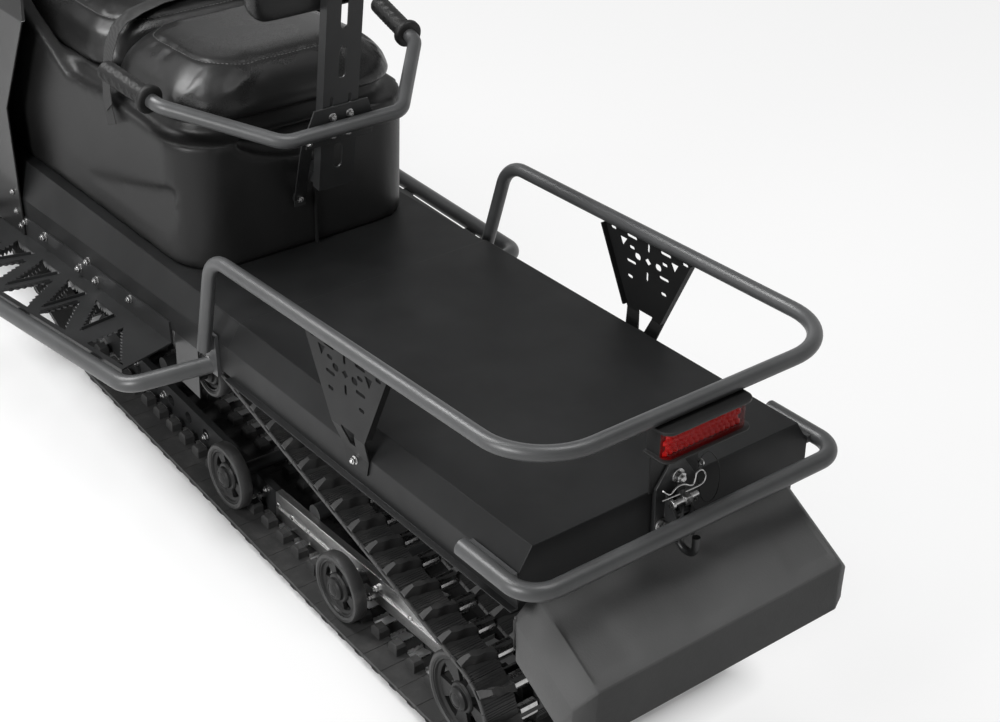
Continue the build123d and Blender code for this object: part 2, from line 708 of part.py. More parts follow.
def base_panel():
    """What is taken off the left side for its pressed panel, deepest along the top edge."""
    face = BASE_HALF - BASE_FOOT_IN
    outline = [(PANEL_REAR, PANEL_LOW), (PANEL_FRONT, PANEL_LOW), (PANEL_FRONT, PANEL_LOW + PANEL_DEPTH),
               (PANEL_REAR, PANEL_HIGH)]
    slope = [(face, PANEL_LOW), (face - PANEL_DEPTH, PANEL_HIGH), (BASE_HALF + OVERRUN, PANEL_HIGH),
             (BASE_HALF + OVERRUN, PANEL_LOW)]
    return across(polygon(outline), 0, BASE_HALF + OVERRUN) & along(polygon(slope), PANEL_REAR, PANEL_FRONT)


def seat_base():
    """The moulded base: its rim climbs towards the front, and a plinth carries the cushions."""
    foot = Plane.XY.offset(-SHEET) * base_plan(-BASE_FOOT_IN)
    body = loft([foot, Plane.XY.offset(BASE_TOP) * base_plan(0)], ruled=True)
    length = BASE_FRONT - BASE_REAR
    rim = [(BASE_REAR + far * length, height * BASE_TOP) for far, height in RIM_SHARES]
    above = BASE_TOP + OVERRUN
    edge = rim[0][1]
    rim += [(BASE_FRONT + OVERRUN, BASE_TOP), (BASE_FRONT + OVERRUN, above), (BASE_REAR - OVERRUN, above),
            (BASE_REAR - OVERRUN, edge)]
    body -= across(polygon(rim), -BASE_HALF - OVERRUN, BASE_HALF + OVERRUN)
    dip = make_face([ThreePointArc((-BASE_DIP_HALF, edge), (0, BASE_DIP), (BASE_DIP_HALF, edge)),
                     Line((-BASE_DIP_HALF, edge), (BASE_DIP_HALF, edge))])
    body -= along(dip, BASE_REAR - OVERRUN, BASE_REAR + PLINTH_INSET)
    for pressed in both_sides(base_panel()):
        body -= pressed
    half = BASE_SEAM / 2
    depth = (BASE_REAR - OVERRUN, BASE_REAR + BASE_BOW)
    body -= block(depth, (BASE_SEAM_Y - half, BASE_SEAM_Y + half), (0, BASE_SEAM_TOP))
    body -= block(depth, (-POST_WIDTH / 2, BASE_SEAM_Y), (BASE_SEAM_TOP - BASE_SEAM, BASE_SEAM_TOP))
    plinth = upright(base_plan(-PLINTH_INSET), -SHEET, CUSHION_BOTTOM - SEAT_GAP)
    well = block((BASE_REAR + PLINTH_INSET, BASE_FRONT + OVERRUN),
                 (-BASE_HALF + PLINTH_INSET, BASE_HALF - PLINTH_INSET), (CUSHION_BOTTOM - SEAT_GAP, above))
    return body + plinth - well


# Cushions. Columns, shares of the cushion's length: how far the top panel is set in, corner radius
CUSHION_SHARES = {
    "passenger": (0.195, 0.266),
    "rider": (0.130, 0.177),
}


def cushion(name, x_low, x_high, half):
    length = x_high - x_low
    crown, corner = [share * length for share in CUSHION_SHARES[name]]
    middle = (x_low + x_high) / 2
    waist_z = (CUSHION_BOTTOM + CUSHION_TOP) / 2
    foot = Pos(middle, 0, CUSHION_BOTTOM) * RectangleRounded(length, 2 * half, corner)
    waist = Pos(middle, 0, waist_z) * RectangleRounded(length, 2 * half, corner)
    flat = RectangleRounded(length - 2 * crown, 2 * (half - crown), corner - crown / 2)
    return loft([foot, waist]) + loft([waist, Pos(middle, 0, CUSHION_TOP) * flat])


def cushions():
    inner = BASE_HALF - PLINTH_INSET - SEAT_GAP
    passenger = cushion("passenger", CUSHION_REAR, CUSHION_SPLIT - SEAT_GAP, CUSHION_HALF)
    return passenger, cushion("rider", CUSHION_SPLIT, CUSHION_FRONT, inner)


def grab_points():
    return [(GRAB_END_X, GRAB_END_HALF, GRAB_END_Z), (GRAB_BEND_X, GRAB_BEND_HALF, GRAB_BEND_Z),
            (GRAB_REAR, GRAB_REAR_HALF, GRAB_REAR_Z)]


def grab_handle():
    half = grab_points()
    return tube(half + [(x, -y, z) for x, y, z in reversed(half)], GRAB_BEND, GRAB_TUBE)


def grab_grips():
    """A rubber sleeve with an end flange on each arm of the handle."""
    end, bend, _ = [Vector(*point) for point in grab_points()]
    back = (bend - end).normalized()
    tip = end - back * GRIP_FLANGE_WIDTH
    root = end + back * GRIP_LENGTH
    sleeve = rod(tip, root, GRIP_DIAMETER)
    sleeve += rod(root - back * GRIP_FLANGE_WIDTH, root, GRIP_FLANGE)
    sleeve -= rod(end, root + back * OVERRUN, GRAB_TUBE)
    return Compound(both_sides(sleeve))


def on_post(shape):
    """Places a shape drawn in the post's frame: x from the grab handle's centre line, z along the post."""
    return Pos(GRAB_REAR, 0, GRAB_REAR_Z) * Rot(0, -POST_LEAN, 0) * shape


def grab_plate():
    half = GRAB_PLATE_WIDTH / 2
    top = GRAB_PLATE_TOP_WIDTH / 2
    rise = GRAB_PLATE_DEPTH / 2
    outline = [(-half, -rise), (half, -rise), (half, 0), (top, rise), (-top, rise), (-half, 0)]
    return on_post(along(polygon(outline), GRAB_TUBE / 2, GRAB_TUBE / 2 + GRAB_PLATE))


# Slots of the post's rear face. Columns, shares: distance from its middle by its width, height up the post
# by its length, width and length by its width
POST_SLOT_SHARES = [
    (0.000, 0.124, 0.257, 0.686), (-0.257, 0.336, 0.100, 0.286), (0.257, 0.336, 0.100, 0.286),
    (0.000, 0.480, 0.200, 0.857), (0.000, 0.660, 0.200, 0.857), (0.000, 0.840, 0.200, 0.857),
]


def backrest_post():
    """A folded channel, open towards the rider, with slots and a foot that reaches the seat base."""
    half = POST_WIDTH / 2
    face = GRAB_TUBE / 2 + GRAB_PLATE
    low = POST_BOTTOM - GRAB_REAR_Z
    top = POST_TOP - GRAB_REAR_Z
    body = block((face, face + POST_DEPTH), (-half, half), (low, top))
    body -= block((face + POST_SHEET, face + POST_DEPTH + OVERRUN), (-half + POST_SHEET, half - POST_SHEET),
                  (low - OVERRUN, top + OVERRUN))
    for across_share, up_share, width_share, length_share in POST_SLOT_SHARES:
        slot = SlotOverall(length_share * POST_WIDTH, width_share * POST_WIDTH, rotation=90)
        spot = Pos(across_share * POST_WIDTH, low + up_share * (top - low))
        body -= along(spot * slot, face - OVERRUN, face + POST_SHEET + OVERRUN)
    narrow = POST_WIDTH / 3
    foot = block((GRAB_REAR + face + POST_DEPTH, BASE_REAR), (-narrow, narrow),
                 (POST_BOTTOM + POST_SHEET, POST_BOTTOM + POST_SHEET + POST_DEPTH))
    return on_post(body) + foot


def backrest_brace():
    """A flat bar on the left, from the handle's plate down and forward to the seat base."""
    face = GRAB_TUBE / 2 + GRAB_PLATE
    half, sheet = BRACE_WIDTH / 2, POST_SHEET
    head = on_post(block((face, face + sheet), (BRACE_Y - half, BRACE_Y + half),
                         (-BRACE_DROP - half, half - BRACE_DROP)))
    start = on_post(Pos(face + sheet / 2, BRACE_Y, -BRACE_DROP)).position
    foot = Vector(BASE_REAR - sheet / 2, BRACE_FOOT_Y, BRACE_FOOT_Z)
    axis = foot - start
    flat = Plane(origin=start, x_dir=axis.cross(Vector(0, 1, 0)), z_dir=axis) * Rectangle(sheet, BRACE_WIDTH)
    tab = BRACE_TAB / 2
    end = block((BASE_REAR - sheet, BASE_REAR), (foot.Y - half, foot.Y + half), (foot.Z - tab, foot.Z + tab))
    plate = on_post(block((0, face), (0, 2 * BRACE_Y), (-BRACE_DROP - 2 * half, 2 * half - BRACE_DROP)))
    return head + extrude(flat, amount=axis.length) + end - plate


def backrest_pad():
    x_low = GRAB_TUBE / 2 + GRAB_PLATE + POST_DEPTH + SEAT_GAP
    pad = block((x_low, x_low + PAD_DEPTH), (-PAD_HALF, PAD_HALF),
                (PAD_BOTTOM - GRAB_REAR_Z, PAD_TOP - GRAB_REAR_Z))
    return on_post(fillet(pad.edges().filter_by(Axis.X), PAD_DEPTH / 2))


# Tabs between the tube and the board, as shares of the board's length
BOARD_TAB_SHARES = (0.12, 0.45, 0.80)


def board_outer(x):
    """Half width over a board's plate, by the distance from its rear end."""
    share = x / (BOARD_FRONT - BOARD_REAR)
    return BOARD_OUTER_REAR + share * (BOARD_OUTER_FRONT - BOARD_OUTER_REAR)


def toothed(start, end):
    """Points from start towards end, with saw teeth on the left of the way."""
    start, end = Vector(*start), Vector(*end)
    run = end - start
    count = round(run.length / TOOTH_PITCH)
    step = run / count
    into = Vector(-run.Y, run.X).normalized() * TOOTH_DEPTH
    points = [start]
    for tooth in range(1, count - 1):
        base = start + step * tooth
        points += [base, base + step / 2 + into]
    points.append(start + step * (count - 1))
    return [(point.X, point.Y) for point in points]


def opening(first, second, third):
    """A three-cornered opening, counter-clockwise, with teeth on all edges but the first."""
    return polygon([first] + toothed(second, third) + toothed(third, first))


def board_openings():
    """Outlines of the openings in the left board, which leave a truss of bars."""
    inner = TUNNEL_SIDE + BOARD_BAR
    front = BAY_START - 2 * BOARD_BAR
    tail = [(front, board_outer(front) - BOARD_RIM), (BAY_WEB, board_outer(BAY_WEB) - BOARD_RIM),
            (front + BAY_WEB, inner + BOARD_BAR / 2)]
    holes = [opening(*tail)]
    for bay in range(BAYS):
        near = BAY_START + BAY_WEB + bay * BAY_PITCH_IN
        tip = BAY_START + bay * BAY_PITCH_OUT
        far = near + BAY_SPAN_IN
        holes.append(opening((near, inner), (far, inner), (tip, board_outer(tip) - BOARD_BAR)))
        rear = tip + BAY_WEB + BAY_WEB / 2
        ahead = rear + BAY_SPAN_OUT
        holes.append(opening((ahead, board_outer(ahead) - BOARD_RIM), (rear, board_outer(rear) - BOARD_RIM),
                             (far + BAY_WEB, inner + BOARD_BAR)))
    return holes


def running_boards():
    """A plate each side, folded up against the tunnel and down along its outer edge."""
    wall = TUNNEL_SIDE - SHEET
    length = BOARD_FRONT - BOARD_REAR
    plan = [(BOARD_SLANT, wall), (length, wall), (length, board_outer(length)), (0, board_outer(0))]
    plate = upright(polygon(plan), -BOARD_SHEET, 0)
    edge = [(0, board_outer(0) - BOARD_SHEET), (length, board_outer(length) - BOARD_SHEET),
            (length, board_outer(length)), (0, board_outer(0))]
    plate += upright(polygon(edge), -BOARD_LIP, 0)
    plate += block((BOARD_SLANT, length), (wall, wall + BOARD_SHEET), (0, BOARD_UPSTAND))
    for hole in board_openings():
        plate -= upright(hole, -BOARD_SHEET - OVERRUN, OVERRUN)
    return Compound(both_sides(on_board(plate)))


def board_tubes():
    """The tube round each board, from the rack's foot to the tunnel's side in front of the board."""
    inner = TUNNEL_SIDE - SHEET + FOOT_PLATE
    length = BOARD_FRONT - BOARD_REAR
    start = (RACK_FOOT_X, inner - BOARD_TUBE, FOOT_BOTTOM + BOARD_TUBE / 2)
    rear, corner, end = BOARD_REAR - 2 * BOARD_TUBE, BOARD_FRONT + BOARD_TUBE, BOARD_FRONT + BOARD_TUBE_END
    points = [start, (rear, board_outer(rear - BOARD_REAR) + BOARD_TUBE_GAP, board_line(rear)),
              (corner, board_outer(length) + BOARD_TUBE_GAP, board_line(corner)),
              (end, inner - BOARD_TUBE, board_line(end))]
    run = tube(points, BOARD_BEND, BOARD_TUBE)
    low = board_line(end) - 2 * BOARD_TUBE
    run -= block((0, BOARD_REAR), (0, inner), (low, 0))
    run -= block((BOARD_REAR, TUNNEL_LENGTH), (0, inner + COWL_WALL), (low, 0))
    for share in BOARD_TAB_SHARES:
        ends = [share * length - BOARD_LIP, share * length + BOARD_LIP]
        tab = [(x, board_outer(x)) for x in ends]
        tab += [(x, board_outer(x) + BOARD_TUBE_GAP) for x in reversed(ends)]
        run += on_board(upright(polygon(tab), -BOARD_LIP, -BOARD_LIP / 2))
    return Compound(both_sides(run))


def loop_circles():
    """x, z and radius of each thing that the belt's inner face wraps."""
    low = LUG_HEIGHT + BELT
    return [
        (IDLER_X, low + IDLER_LIFT + IDLER_RADIUS, IDLER_RADIUS),
        (REAR_WHEEL_X, low + WHEEL_RADIUS, WHEEL_RADIUS),
        (FRONT_WHEEL_X, low + WHEEL_RADIUS, WHEEL_RADIUS),
        (RAIL_NOSE_X, low + RAIL_NOSE_RADIUS, RAIL_NOSE_RADIUS),
        (DRIVE_X, DRIVE_Z, SPROCKET_RADIUS),
        (CARRIER_X, CARRIER_Z, CARRIER_RADIUS),
    ]


def belt_face(grow):
    circles = [Pos(x, z) * Circle(radius + grow) for x, z, radius in loop_circles()]
    return make_hull([circle.edge() for circle in circles])


def track():
    """A closed belt with a row of lugs at every pitch."""
    outer = belt_face(BELT)
    line = outer.wire()
    middle = outer.center()
    count = round(line.length / TRACK_PITCH)
    lugs = []
    for index in range(count):
        distance = line.length * index / count
        at = line.position_at(distance, position_mode=PositionMode.LENGTH)
        run = line.tangent_at(distance, position_mode=PositionMode.LENGTH)
        out = Vector(-run.Y, run.X)
        if out.dot(at - middle) < 0:
            out = out * -1
        corners = [(-LUG_FOOT / 2, -LUG_ROOT), (LUG_FOOT / 2, -LUG_ROOT), (LUG_TIP / 2, LUG_HEIGHT),
                   (-LUG_TIP / 2, LUG_HEIGHT)]
        placed = [at + run * a + out * b for a, b in corners]
        lugs.append(polygon([(point.X, point.Y) for point in placed]))
    face = outer + lugs - belt_face(0)
    return across(face, -TRACK_WIDTH / 2, TRACK_WIDTH / 2)


def wheel(radius, width):
    """A spoked wheel about the y axis: tyre, web with windows, and hub."""
    ring = Cylinder(radius, width) - Cylinder(radius - WHEEL_TYRE, width + OVERRUN)
    web = Cylinder(radius - WHEEL_TYRE, WHEEL_WEB)
    reach = (radius - WHEEL_TYRE + WHEEL_HUB) / 2
    for place in PolarLocations(reach, WHEEL_WINDOWS):
        web -= place * Cylinder(WHEEL_WINDOW / 2, width)
    hub = Cylinder(WHEEL_HUB, WHEEL_HUB_WIDTH)
    return Rot(90, 0, 0) * (ring + web + hub)


def wheel_pairs(places, radius):
    """Wheels either side at each (x, z)."""
    wheels = []
    for x, z in places:
        one = Pos(x, WHEEL_Y, z) * wheel(radius, WHEEL_WIDTH)
        wheels += both_sides(one - cross_rod(x, z, 0, 2 * WHEEL_Y, SHAFT))
    return Compound(wheels)


def skid_wheels():
    circles = loop_circles()
    road = wheel_pairs([circles[1][:2], circles[2][:2]], WHEEL_RADIUS)
    rear = wheel_pairs([circles[0][:2]], IDLER_RADIUS)
    carrier = wheel_pairs([circles[5][:2]], CARRIER_RADIUS)
    return road, rear, carrier


def skid_shafts():
    half = WHEEL_Y + WHEEL_HUB_WIDTH / 2
    shafts = []
    for x, z, _ in loop_circles()[:3]:
        shafts.append(cross_rod(x, z, -half, half, SHAFT))
    wall = TUNNEL_SIDE - 3 * SHEET
    shafts.append(cross_rod(CARRIER_X, CARRIER_Z, -wall, wall, SHAFT))
    return Compound(shafts)


def rail_outline(x_low, x_high, z_low, z_high):
    return polygon([(x_low, z_low[0]), (x_high, z_low[1]), (x_high, z_high[1]), (x_low, z_high[0])])


def skid_rails():
    """The front pair, curved up at the nose and pierced along its run."""
    circles = loop_circles()
    nose_x, nose_z, nose_radius = circles[3]
    floor = LUG_HEIGHT + BELT + SEAT_GAP
    inner = nose_radius - SEAT_GAP - RAIL_DEPTH
    bar = across(rail_outline(HINGE_X, nose_x, (floor, floor), (floor + RAIL_DEPTH, floor + RAIL_DEPTH)),
                 RAIL_Y - RAIL_THICK / 2, RAIL_Y + RAIL_THICK / 2)
    ring = Pos(nose_x, nose_z) * (Circle(nose_radius - SEAT_GAP) - Circle(inner))
    wedge = polygon([(nose_x, nose_z), (nose_x, 0), (nose_x + nose_radius, 0)])
    bar += across(ring & wedge, RAIL_Y - RAIL_THICK / 2, RAIL_Y + RAIL_THICK / 2)
    x, z, _ = circles[2]
    bar -= cross_rod(x, z, 0, 2 * RAIL_Y, SHAFT)
    for hole in range(RAIL_HOLES):
        x = RAIL_HOLE_START + hole * RAIL_HOLE_PITCH
        bar -= cross_rod(x, floor + RAIL_DEPTH / 2, 0, 2 * RAIL_Y, RAIL_HOLE)
    return Compound(both_sides(bar))


def skid_rear_rails():
    """The bright rear pair, with a groove along both faces."""
    circles = loop_circles()
    floor = LUG_HEIGHT + BELT + SEAT_GAP
    x_low = circles[0][0] - SHAFT
    rear, front = circles[0][1], floor + RAIL_DEPTH / 2
    half = RAIL_DEPTH / 2
    low, high = RAIL_Y - RAIL_THICK / 2, RAIL_Y + RAIL_THICK / 2
    profile = rail_outline(x_low, HINGE_X - SEAT_GAP, (rear - half, front - half),
                           (rear + half, front + half))
    bar = across(profile, low, high)
    slot = SLOT_WIDTH / 2
    groove = rail_outline(x_low - OVERRUN, HINGE_X + OVERRUN, (rear - slot, front - slot),
                          (rear + slot, front + slot))
    bar -= across(groove, low - OVERRUN, low + SLOT_DEPTH)
    bar -= across(groove, high - SLOT_DEPTH, high + OVERRUN)
    for index in (0, 1):
        x, z, _ = circles[index]
        bar -= cross_rod(x, z, 0, 2 * RAIL_Y, SHAFT)
    return Compound(both_sides(bar))


def skid_arms():
    """Two arms: the front one hangs from its own cross tube, the rear one from the carrier shaft."""
    wall = TUNNEL_SIDE - SHEET - SHEET
    top = cross_rod(ARM_TOP_X, ARM_TOP_Z, -wall, wall, ARM_TUBE)
    low = cross_rod(ARM_LOW_X, ARM_LOW_Z, -RAIL_Y + RAIL_THICK / 2, RAIL_Y - RAIL_THICK / 2, ARM_TUBE)
    front = top + low
    rear = cross_rod(REAR_ARM_X, REAR_ARM_Z, -RAIL_Y + RAIL_THICK / 2, RAIL_Y - RAIL_THICK / 2, ARM_TUBE)
    for y in (-ARM_Y, ARM_Y):
        front += rod((ARM_TOP_X, y, ARM_TOP_Z), (ARM_LOW_X, y, ARM_LOW_Z), ARM_TUBE)
        rear += rod((CARRIER_X, y, CARRIER_Z), (REAR_ARM_X, y, REAR_ARM_Z), ARM_TUBE)
        rear += cross_rod(CARRIER_X, CARRIER_Z, y - EYE / 2, y + EYE / 2, EYE)
    rear -= cross_rod(CARRIER_X, CARRIER_Z, -wall, wall, SHAFT + 2 * EYE_GAP)
    return Compound([front, rear])


def shock(low, high):
    """A shock absorber: an eye at each end, a rod, and a body inside a wound spring."""
    axis = (Vector(*high) - Vector(*low)).normalized()
    length = (Vector(*high) - Vector(*low)).length
    place = Plane(origin=low, x_dir=(0, 1, 0), z_dir=axis)
    start, end = EYE, length - EYE
    pitch = (end - start) / SPRING_TURNS
    outline = [(0, start)]
    for turn in range(SPRING_TURNS):
        low_turn = start + turn * pitch
        outline += [(SHOCK_BODY / 2, low_turn), (SHOCK_SPRING / 2, low_turn + pitch / 2)]
    outline += [(SHOCK_BODY / 2, end), (0, end)]
    body = revolve(Plane.XZ * polygon(outline), Axis.Z)
    body += Cylinder(SHOCK_ROD / 2, length, align=(Align.CENTER, Align.CENTER, Align.MIN))
    shape = place * body
    for x, _, z in (low, high):
        shape += cross_rod(x, z, -EYE / 2, EYE / 2, EYE)
        shape -= cross_rod(x, z, -EYE, EYE, ARM_TUBE + 2 * EYE_GAP)
    return shape


def skid_shock():
    """It runs forward from the rear arm to the front arm's top tube."""
    return shock((REAR_ARM_X, 0, REAR_ARM_Z), (ARM_TOP_X, 0, ARM_TOP_Z))


def carrier_hangers():
    """A plate inside each side of the tunnel that holds the carrier shaft."""
    wall = TUNNEL_SIDE - 2 * SHEET
    top = DECK_REAR_HEIGHT + SIDE_BOTTOM - CARRIER_X * sin(radians(TILT)) + EYE
    plate = block((CARRIER_X - EYE, CARRIER_X + EYE), (wall - SHEET, wall), (CARRIER_Z - EYE / 2, top))
    return Compound(both_sides(plate))


def drive_axle():
    """A shaft across the tunnel with toothed drivers."""
    wall = TUNNEL_SIDE - SHEET - SHEET
    axle = cross_rod(DRIVE_X, DRIVE_Z, -wall, wall, AXLE)
    radius = SPROCKET_RADIUS - LEG_CLEAR
    disc = Circle(radius)
    for place in PolarLocations(radius, SPROCKET_TEETH):
        disc -= place * Circle(SPROCKET_NOTCH / 2)
    for y in SPROCKET_Y:
        for side in (-y, y):
            low = side - SPROCKET_WIDTH / 2
            axle += across(Pos(DRIVE_X, DRIVE_Z) * disc, low, low + SPROCKET_WIDTH)
    return axle


# Sections of the hood and the pan from rear to nose. Columns, all shares: distance along, half width at the
# parting line, half width at the far edge, height of the shoulder, height of the far edge
HOOD_SHARES = [
    (0.00, 0.98, 0.62, 0.66, 1.00),
    (0.50, 0.98, 0.60, 0.56, 0.84),
    (1.00, 0.66, 0.50, 0.24, 0.42),
]
PAN_SHARES = [
    (0.00, 0.98, 0.80, 0.60, 1.00),
    (0.60, 0.98, 0.76, 0.56, 0.92),
    (1.00, 0.66, 0.50, 0.22, 0.34),
]


def body_loft(shares, rear, nose, half, height, wall):
    """A loft through rounded six-cornered sections that stand on the parting line, smaller by the wall."""
    sections = []
    for along_share, foot_share, far_share, shoulder_share, far_height_share in shares:
        x = rear + along_share * (nose - rear)
        foot = foot_share * half - wall
        far = far_share * half - wall
        shoulder = shoulder_share * height
        top = far_height_share * height
        if height > 0:
            top -= wall
        else:
            top += wall
        outline = [(-foot, 0), (foot, 0), (foot, shoulder), (far, top), (-far, top), (-foot, shoulder)]
        sections.append(Plane.YZ.offset(x) * polygon(outline))
    return loft(sections, ruled=True)


def hood_solid(wall):
    return Pos(0, 0, PAN_TOP) * body_loft(HOOD_SHARES, HOOD_REAR, NOSE - wall, BODY_HALF, HOOD_HEIGHT, wall)


def hood():
    """A thin shell, open below and at its rear end, with a grille in its nose and vents in its sides."""
    shell = hood_solid(0) - hood_solid(HOOD_WALL)
    shell -= block((HOOD_REAR - OVERRUN, NOSE + OVERRUN), (-BODY_HALF, BODY_HALF),
                   (PAN_TOP - OVERRUN, PAN_TOP + HOOD_GAP))
    for slot in range(GRILLE_SLOTS):
        z = PAN_TOP + GRILLE_LOW + slot * GRILLE_PITCH
        shell -= block((NOSE - GRILLE_HALF, NOSE + OVERRUN), (-GRILLE_HALF, GRILLE_HALF),
                       (z, z + GRILLE_SLOT))
    for vent in range(VENT_SLOTS):
        spot = Pos(VENT_START + vent * VENT_PITCH, PAN_TOP + VENT_Z)
        hole = spot * SlotOverall(VENT_LENGTH, GRILLE_SLOT, rotation=90 - VENT_LEAN)
        shell -= across(hole, -BODY_HALF, BODY_HALF)
    x, z = NOSE + HINGE_AHEAD, PAN_TOP - HINGE_DROP
    half = HINGE_HALF - HINGE_LUG
    top = PAN_TOP + HOOD_GAP + HINGE_LUG
    arm = [(x - HINGE_KNUCKLE / 2, z), (x + HINGE_KNUCKLE / 2, z), (x + HINGE_KNUCKLE / 2, top + HINGE_LUG),
           (NOSE - HOOD_WALL, top + HINGE_LUG), (NOSE - HOOD_WALL, top), (x - HINGE_KNUCKLE / 2, top)]
    shell += across(polygon(arm), -half, half) + cross_rod(x, z, -half, half, HINGE_KNUCKLE)
    return shell - cross_rod(x, z, -HINGE_HALF, HINGE_HALF, HINGE_PIN + 2 * SEAT_GAP)


# Low and high edge of the pod's sunk face, as shares of its slope
POD_FACE_SHARES = (0.26, 0.90)


def gauge_pod():
    """The instrument housing on the hood's rear end, with a sunk face towards the rider."""
    deck = PAN_TOP + HOOD_HEIGHT
    front = POD_REAR + POD_LENGTH
    third, top = POD_LENGTH / 3, deck + POD_HEIGHT
    outline = [(POD_REAR, deck - POD_SINK), (front, deck - 2 * POD_SINK), (front - third, top),
               (POD_REAR + third, top)]
    body = across(polygon(outline), -POD_HALF, POD_HALF)
    body = chamfer(body.edges().filter_by(Axis.X).group_by(Axis.Z)[-1], POD_SINK)
    body -= hood_solid(-SEAT_GAP)
    low, high = outline[0], outline[3]
    run = Vector(high[0] - low[0], high[1] - low[1])
    into = Vector(run.Y, -run.X).normalized() * POD_FACE
    ends = [Vector(*low) + run * share for share in POD_FACE_SHARES]
    face = [ends[0] - into, ends[0] + into, ends[1] + into, ends[1] - into]
    reach = POD_HALF - 2 * POD_FACE
    return body - across(polygon([(point.X, point.Y) for point in face]), -reach, reach)


def belly_pan():
    """The tub under the hood, open above, with a hole each side for its tie rod."""
    outer = body_loft(PAN_SHARES, PAN_REAR, NOSE, BODY_HALF, -PAN_DEPTH, 0)
    inner = body_loft(PAN_SHARES, PAN_REAR + PAN_WALL, NOSE - PAN_WALL, BODY_HALF, -PAN_DEPTH, PAN_WALL)
    tub = on_chassis(Pos(0, 0, PAN_TOP) * (outer - inner))
    eye = tie_eye()
    tub -= cross_rod(eye.X, eye.Z, -BODY_HALF, BODY_HALF, TIE_TUBE + 2 * TIE_CLEAR)
    length, width, _ = ENGINE_SIZE
    reach = width / 2 - ENGINE_BEAM
    for end in (-1, 1):
        x = ENGINE_X + end * (length - ENGINE_BEAM) / 2
        beam = block((x - ENGINE_BEAM / 2, x + ENGINE_BEAM / 2), (-reach, reach),
                     (PAN_TOP - PAN_DEPTH, ENGINE_FLOOR))
        tub += on_chassis(beam & Pos(0, 0, PAN_TOP) * outer)
    x, z = NOSE + HINGE_AHEAD, PAN_TOP - HINGE_DROP
    far = HINGE_HALF + HINGE_LUG
    lug = block((NOSE - PAN_WALL, x), (HINGE_HALF, far), (z - HINGE_KNUCKLE / 2, z + HINGE_KNUCKLE / 2))
    lug += cross_rod(x, z, HINGE_HALF, far, HINGE_KNUCKLE)
    hinge = cross_rod(x, z, -far, far, HINGE_PIN)
    for side_lug in both_sides(lug):
        hinge += side_lug
    return tub + on_chassis(hinge)


def screen_section(front, half, z):
    """A bowed strip, one wall thick, in a level plane."""
    outline = []
    for radius in (SCREEN_RADIUS, SCREEN_RADIUS - SCREEN_WALL):
        middle = front - SCREEN_RADIUS
        side = middle + (radius ** 2 - half ** 2) ** 0.5
        outline.append(ThreePointArc((side, -half), (middle + radius, 0), (side, half)))
    outer, inner = outline
    ends = [Line(outer @ 0, inner @ 0), Line(outer @ 1, inner @ 1)]
    return Plane.XY.offset(z) * make_face([outer, inner] + ends)


# Sections of the windshield. Columns, all shares: height above its foot, half width
SCREEN_SHARES = [
    (0.00, 1.00),
    (0.78, 0.80),
    (0.93, 0.72),
    (1.00, 0.54),
]


def windshield():
    """A bent sheet that leans back from the hood and narrows to its top."""
    base = PAN_TOP + SCREEN_FOOT
    lean = tan(radians(SCREEN_LEAN))
    sections = []
    for height_share, half_share in SCREEN_SHARES:
        rise = height_share * (SCREEN_TOP - base)
        half = half_share * SCREEN_HALF_SHARE * BODY_HALF
        sections.append(screen_section(SCREEN_FRONT - rise * lean, half, base + rise))
    return loft(sections, ruled=True) - Pos(0, 0, SEAT_GAP) * hood_solid(0)


def headlamp():
    """A lens band that lies on the hood's nose."""
    band = block((NOSE - 2 * HEADLAMP_HALF, NOSE + 2 * LAMP_PROUD), (-HEADLAMP_HALF, HEADLAMP_HALF),
                 (PAN_TOP + LAMP_BAND[0] / 2, PAN_TOP + LAMP_BAND[1] / 2))
    return (band & Pos(LAMP_PROUD, 0, 0) * hood_solid(0)) - Pos(SEAT_GAP, 0, 0) * hood_solid(0)


def engine_block():
    length, width, height = ENGINE_SIZE
    return block((ENGINE_X - length / 2, ENGINE_X + length / 2), (-width / 2, width / 2),
                 (ENGINE_FLOOR, ENGINE_FLOOR + height))


def console():
    """The cover over the tank, between the seat and the hood, bored for the steering post."""
    front = HOOD_REAR - HOOD_GAP
    profile = [(BASE_FRONT, -SHEET), (front, -SHEET), (front, CONSOLE_TOP),
               (front - CONSOLE_HALF / 2, CONSOLE_TOP), (BASE_FRONT, CUSHION_TOP)]
    body = across(polygon(profile), -CONSOLE_HALF, CONSOLE_HALF)
    return body - on_steering(Cylinder(STEER_POST / 2 + LEG_CLEAR, 2 * STEER_Z))


def cowls():
    """A bent panel each side, from the running board up and in to the console."""
    front = HOOD_REAR - HOOD_GAP
    low = board_line(front) - OVERRUN
    outline = [(COWL_REAR, low), (front, low), (front, COWL_TOP), (COWL_TOP_REAR, COWL_TOP),
               (COWL_KNEE_REAR, COWL_KNEE), (COWL_REAR, COWL_REAR_Z)]
    inner = TUNNEL_SIDE - SHEET + BOARD_SHEET
    outer = inner + COWL_WALL
    tip = CONSOLE_HALF + SEAT_GAP
    section = [(inner, low), (outer, low), (outer, COWL_KNEE), (tip, COWL_TOP), (tip, COWL_TOP - COWL_WALL),
               (inner, COWL_KNEE - COWL_WALL)]
    panel = along(polygon(section), COWL_KNEE_REAR, front) & across(polygon(outline), 0, outer)
    below = on_board(block((0, TUNNEL_LENGTH), (0, BODY_HALF), (FRONT_DEPTH, SEAT_GAP)))
    return Compound(both_sides(panel - below))


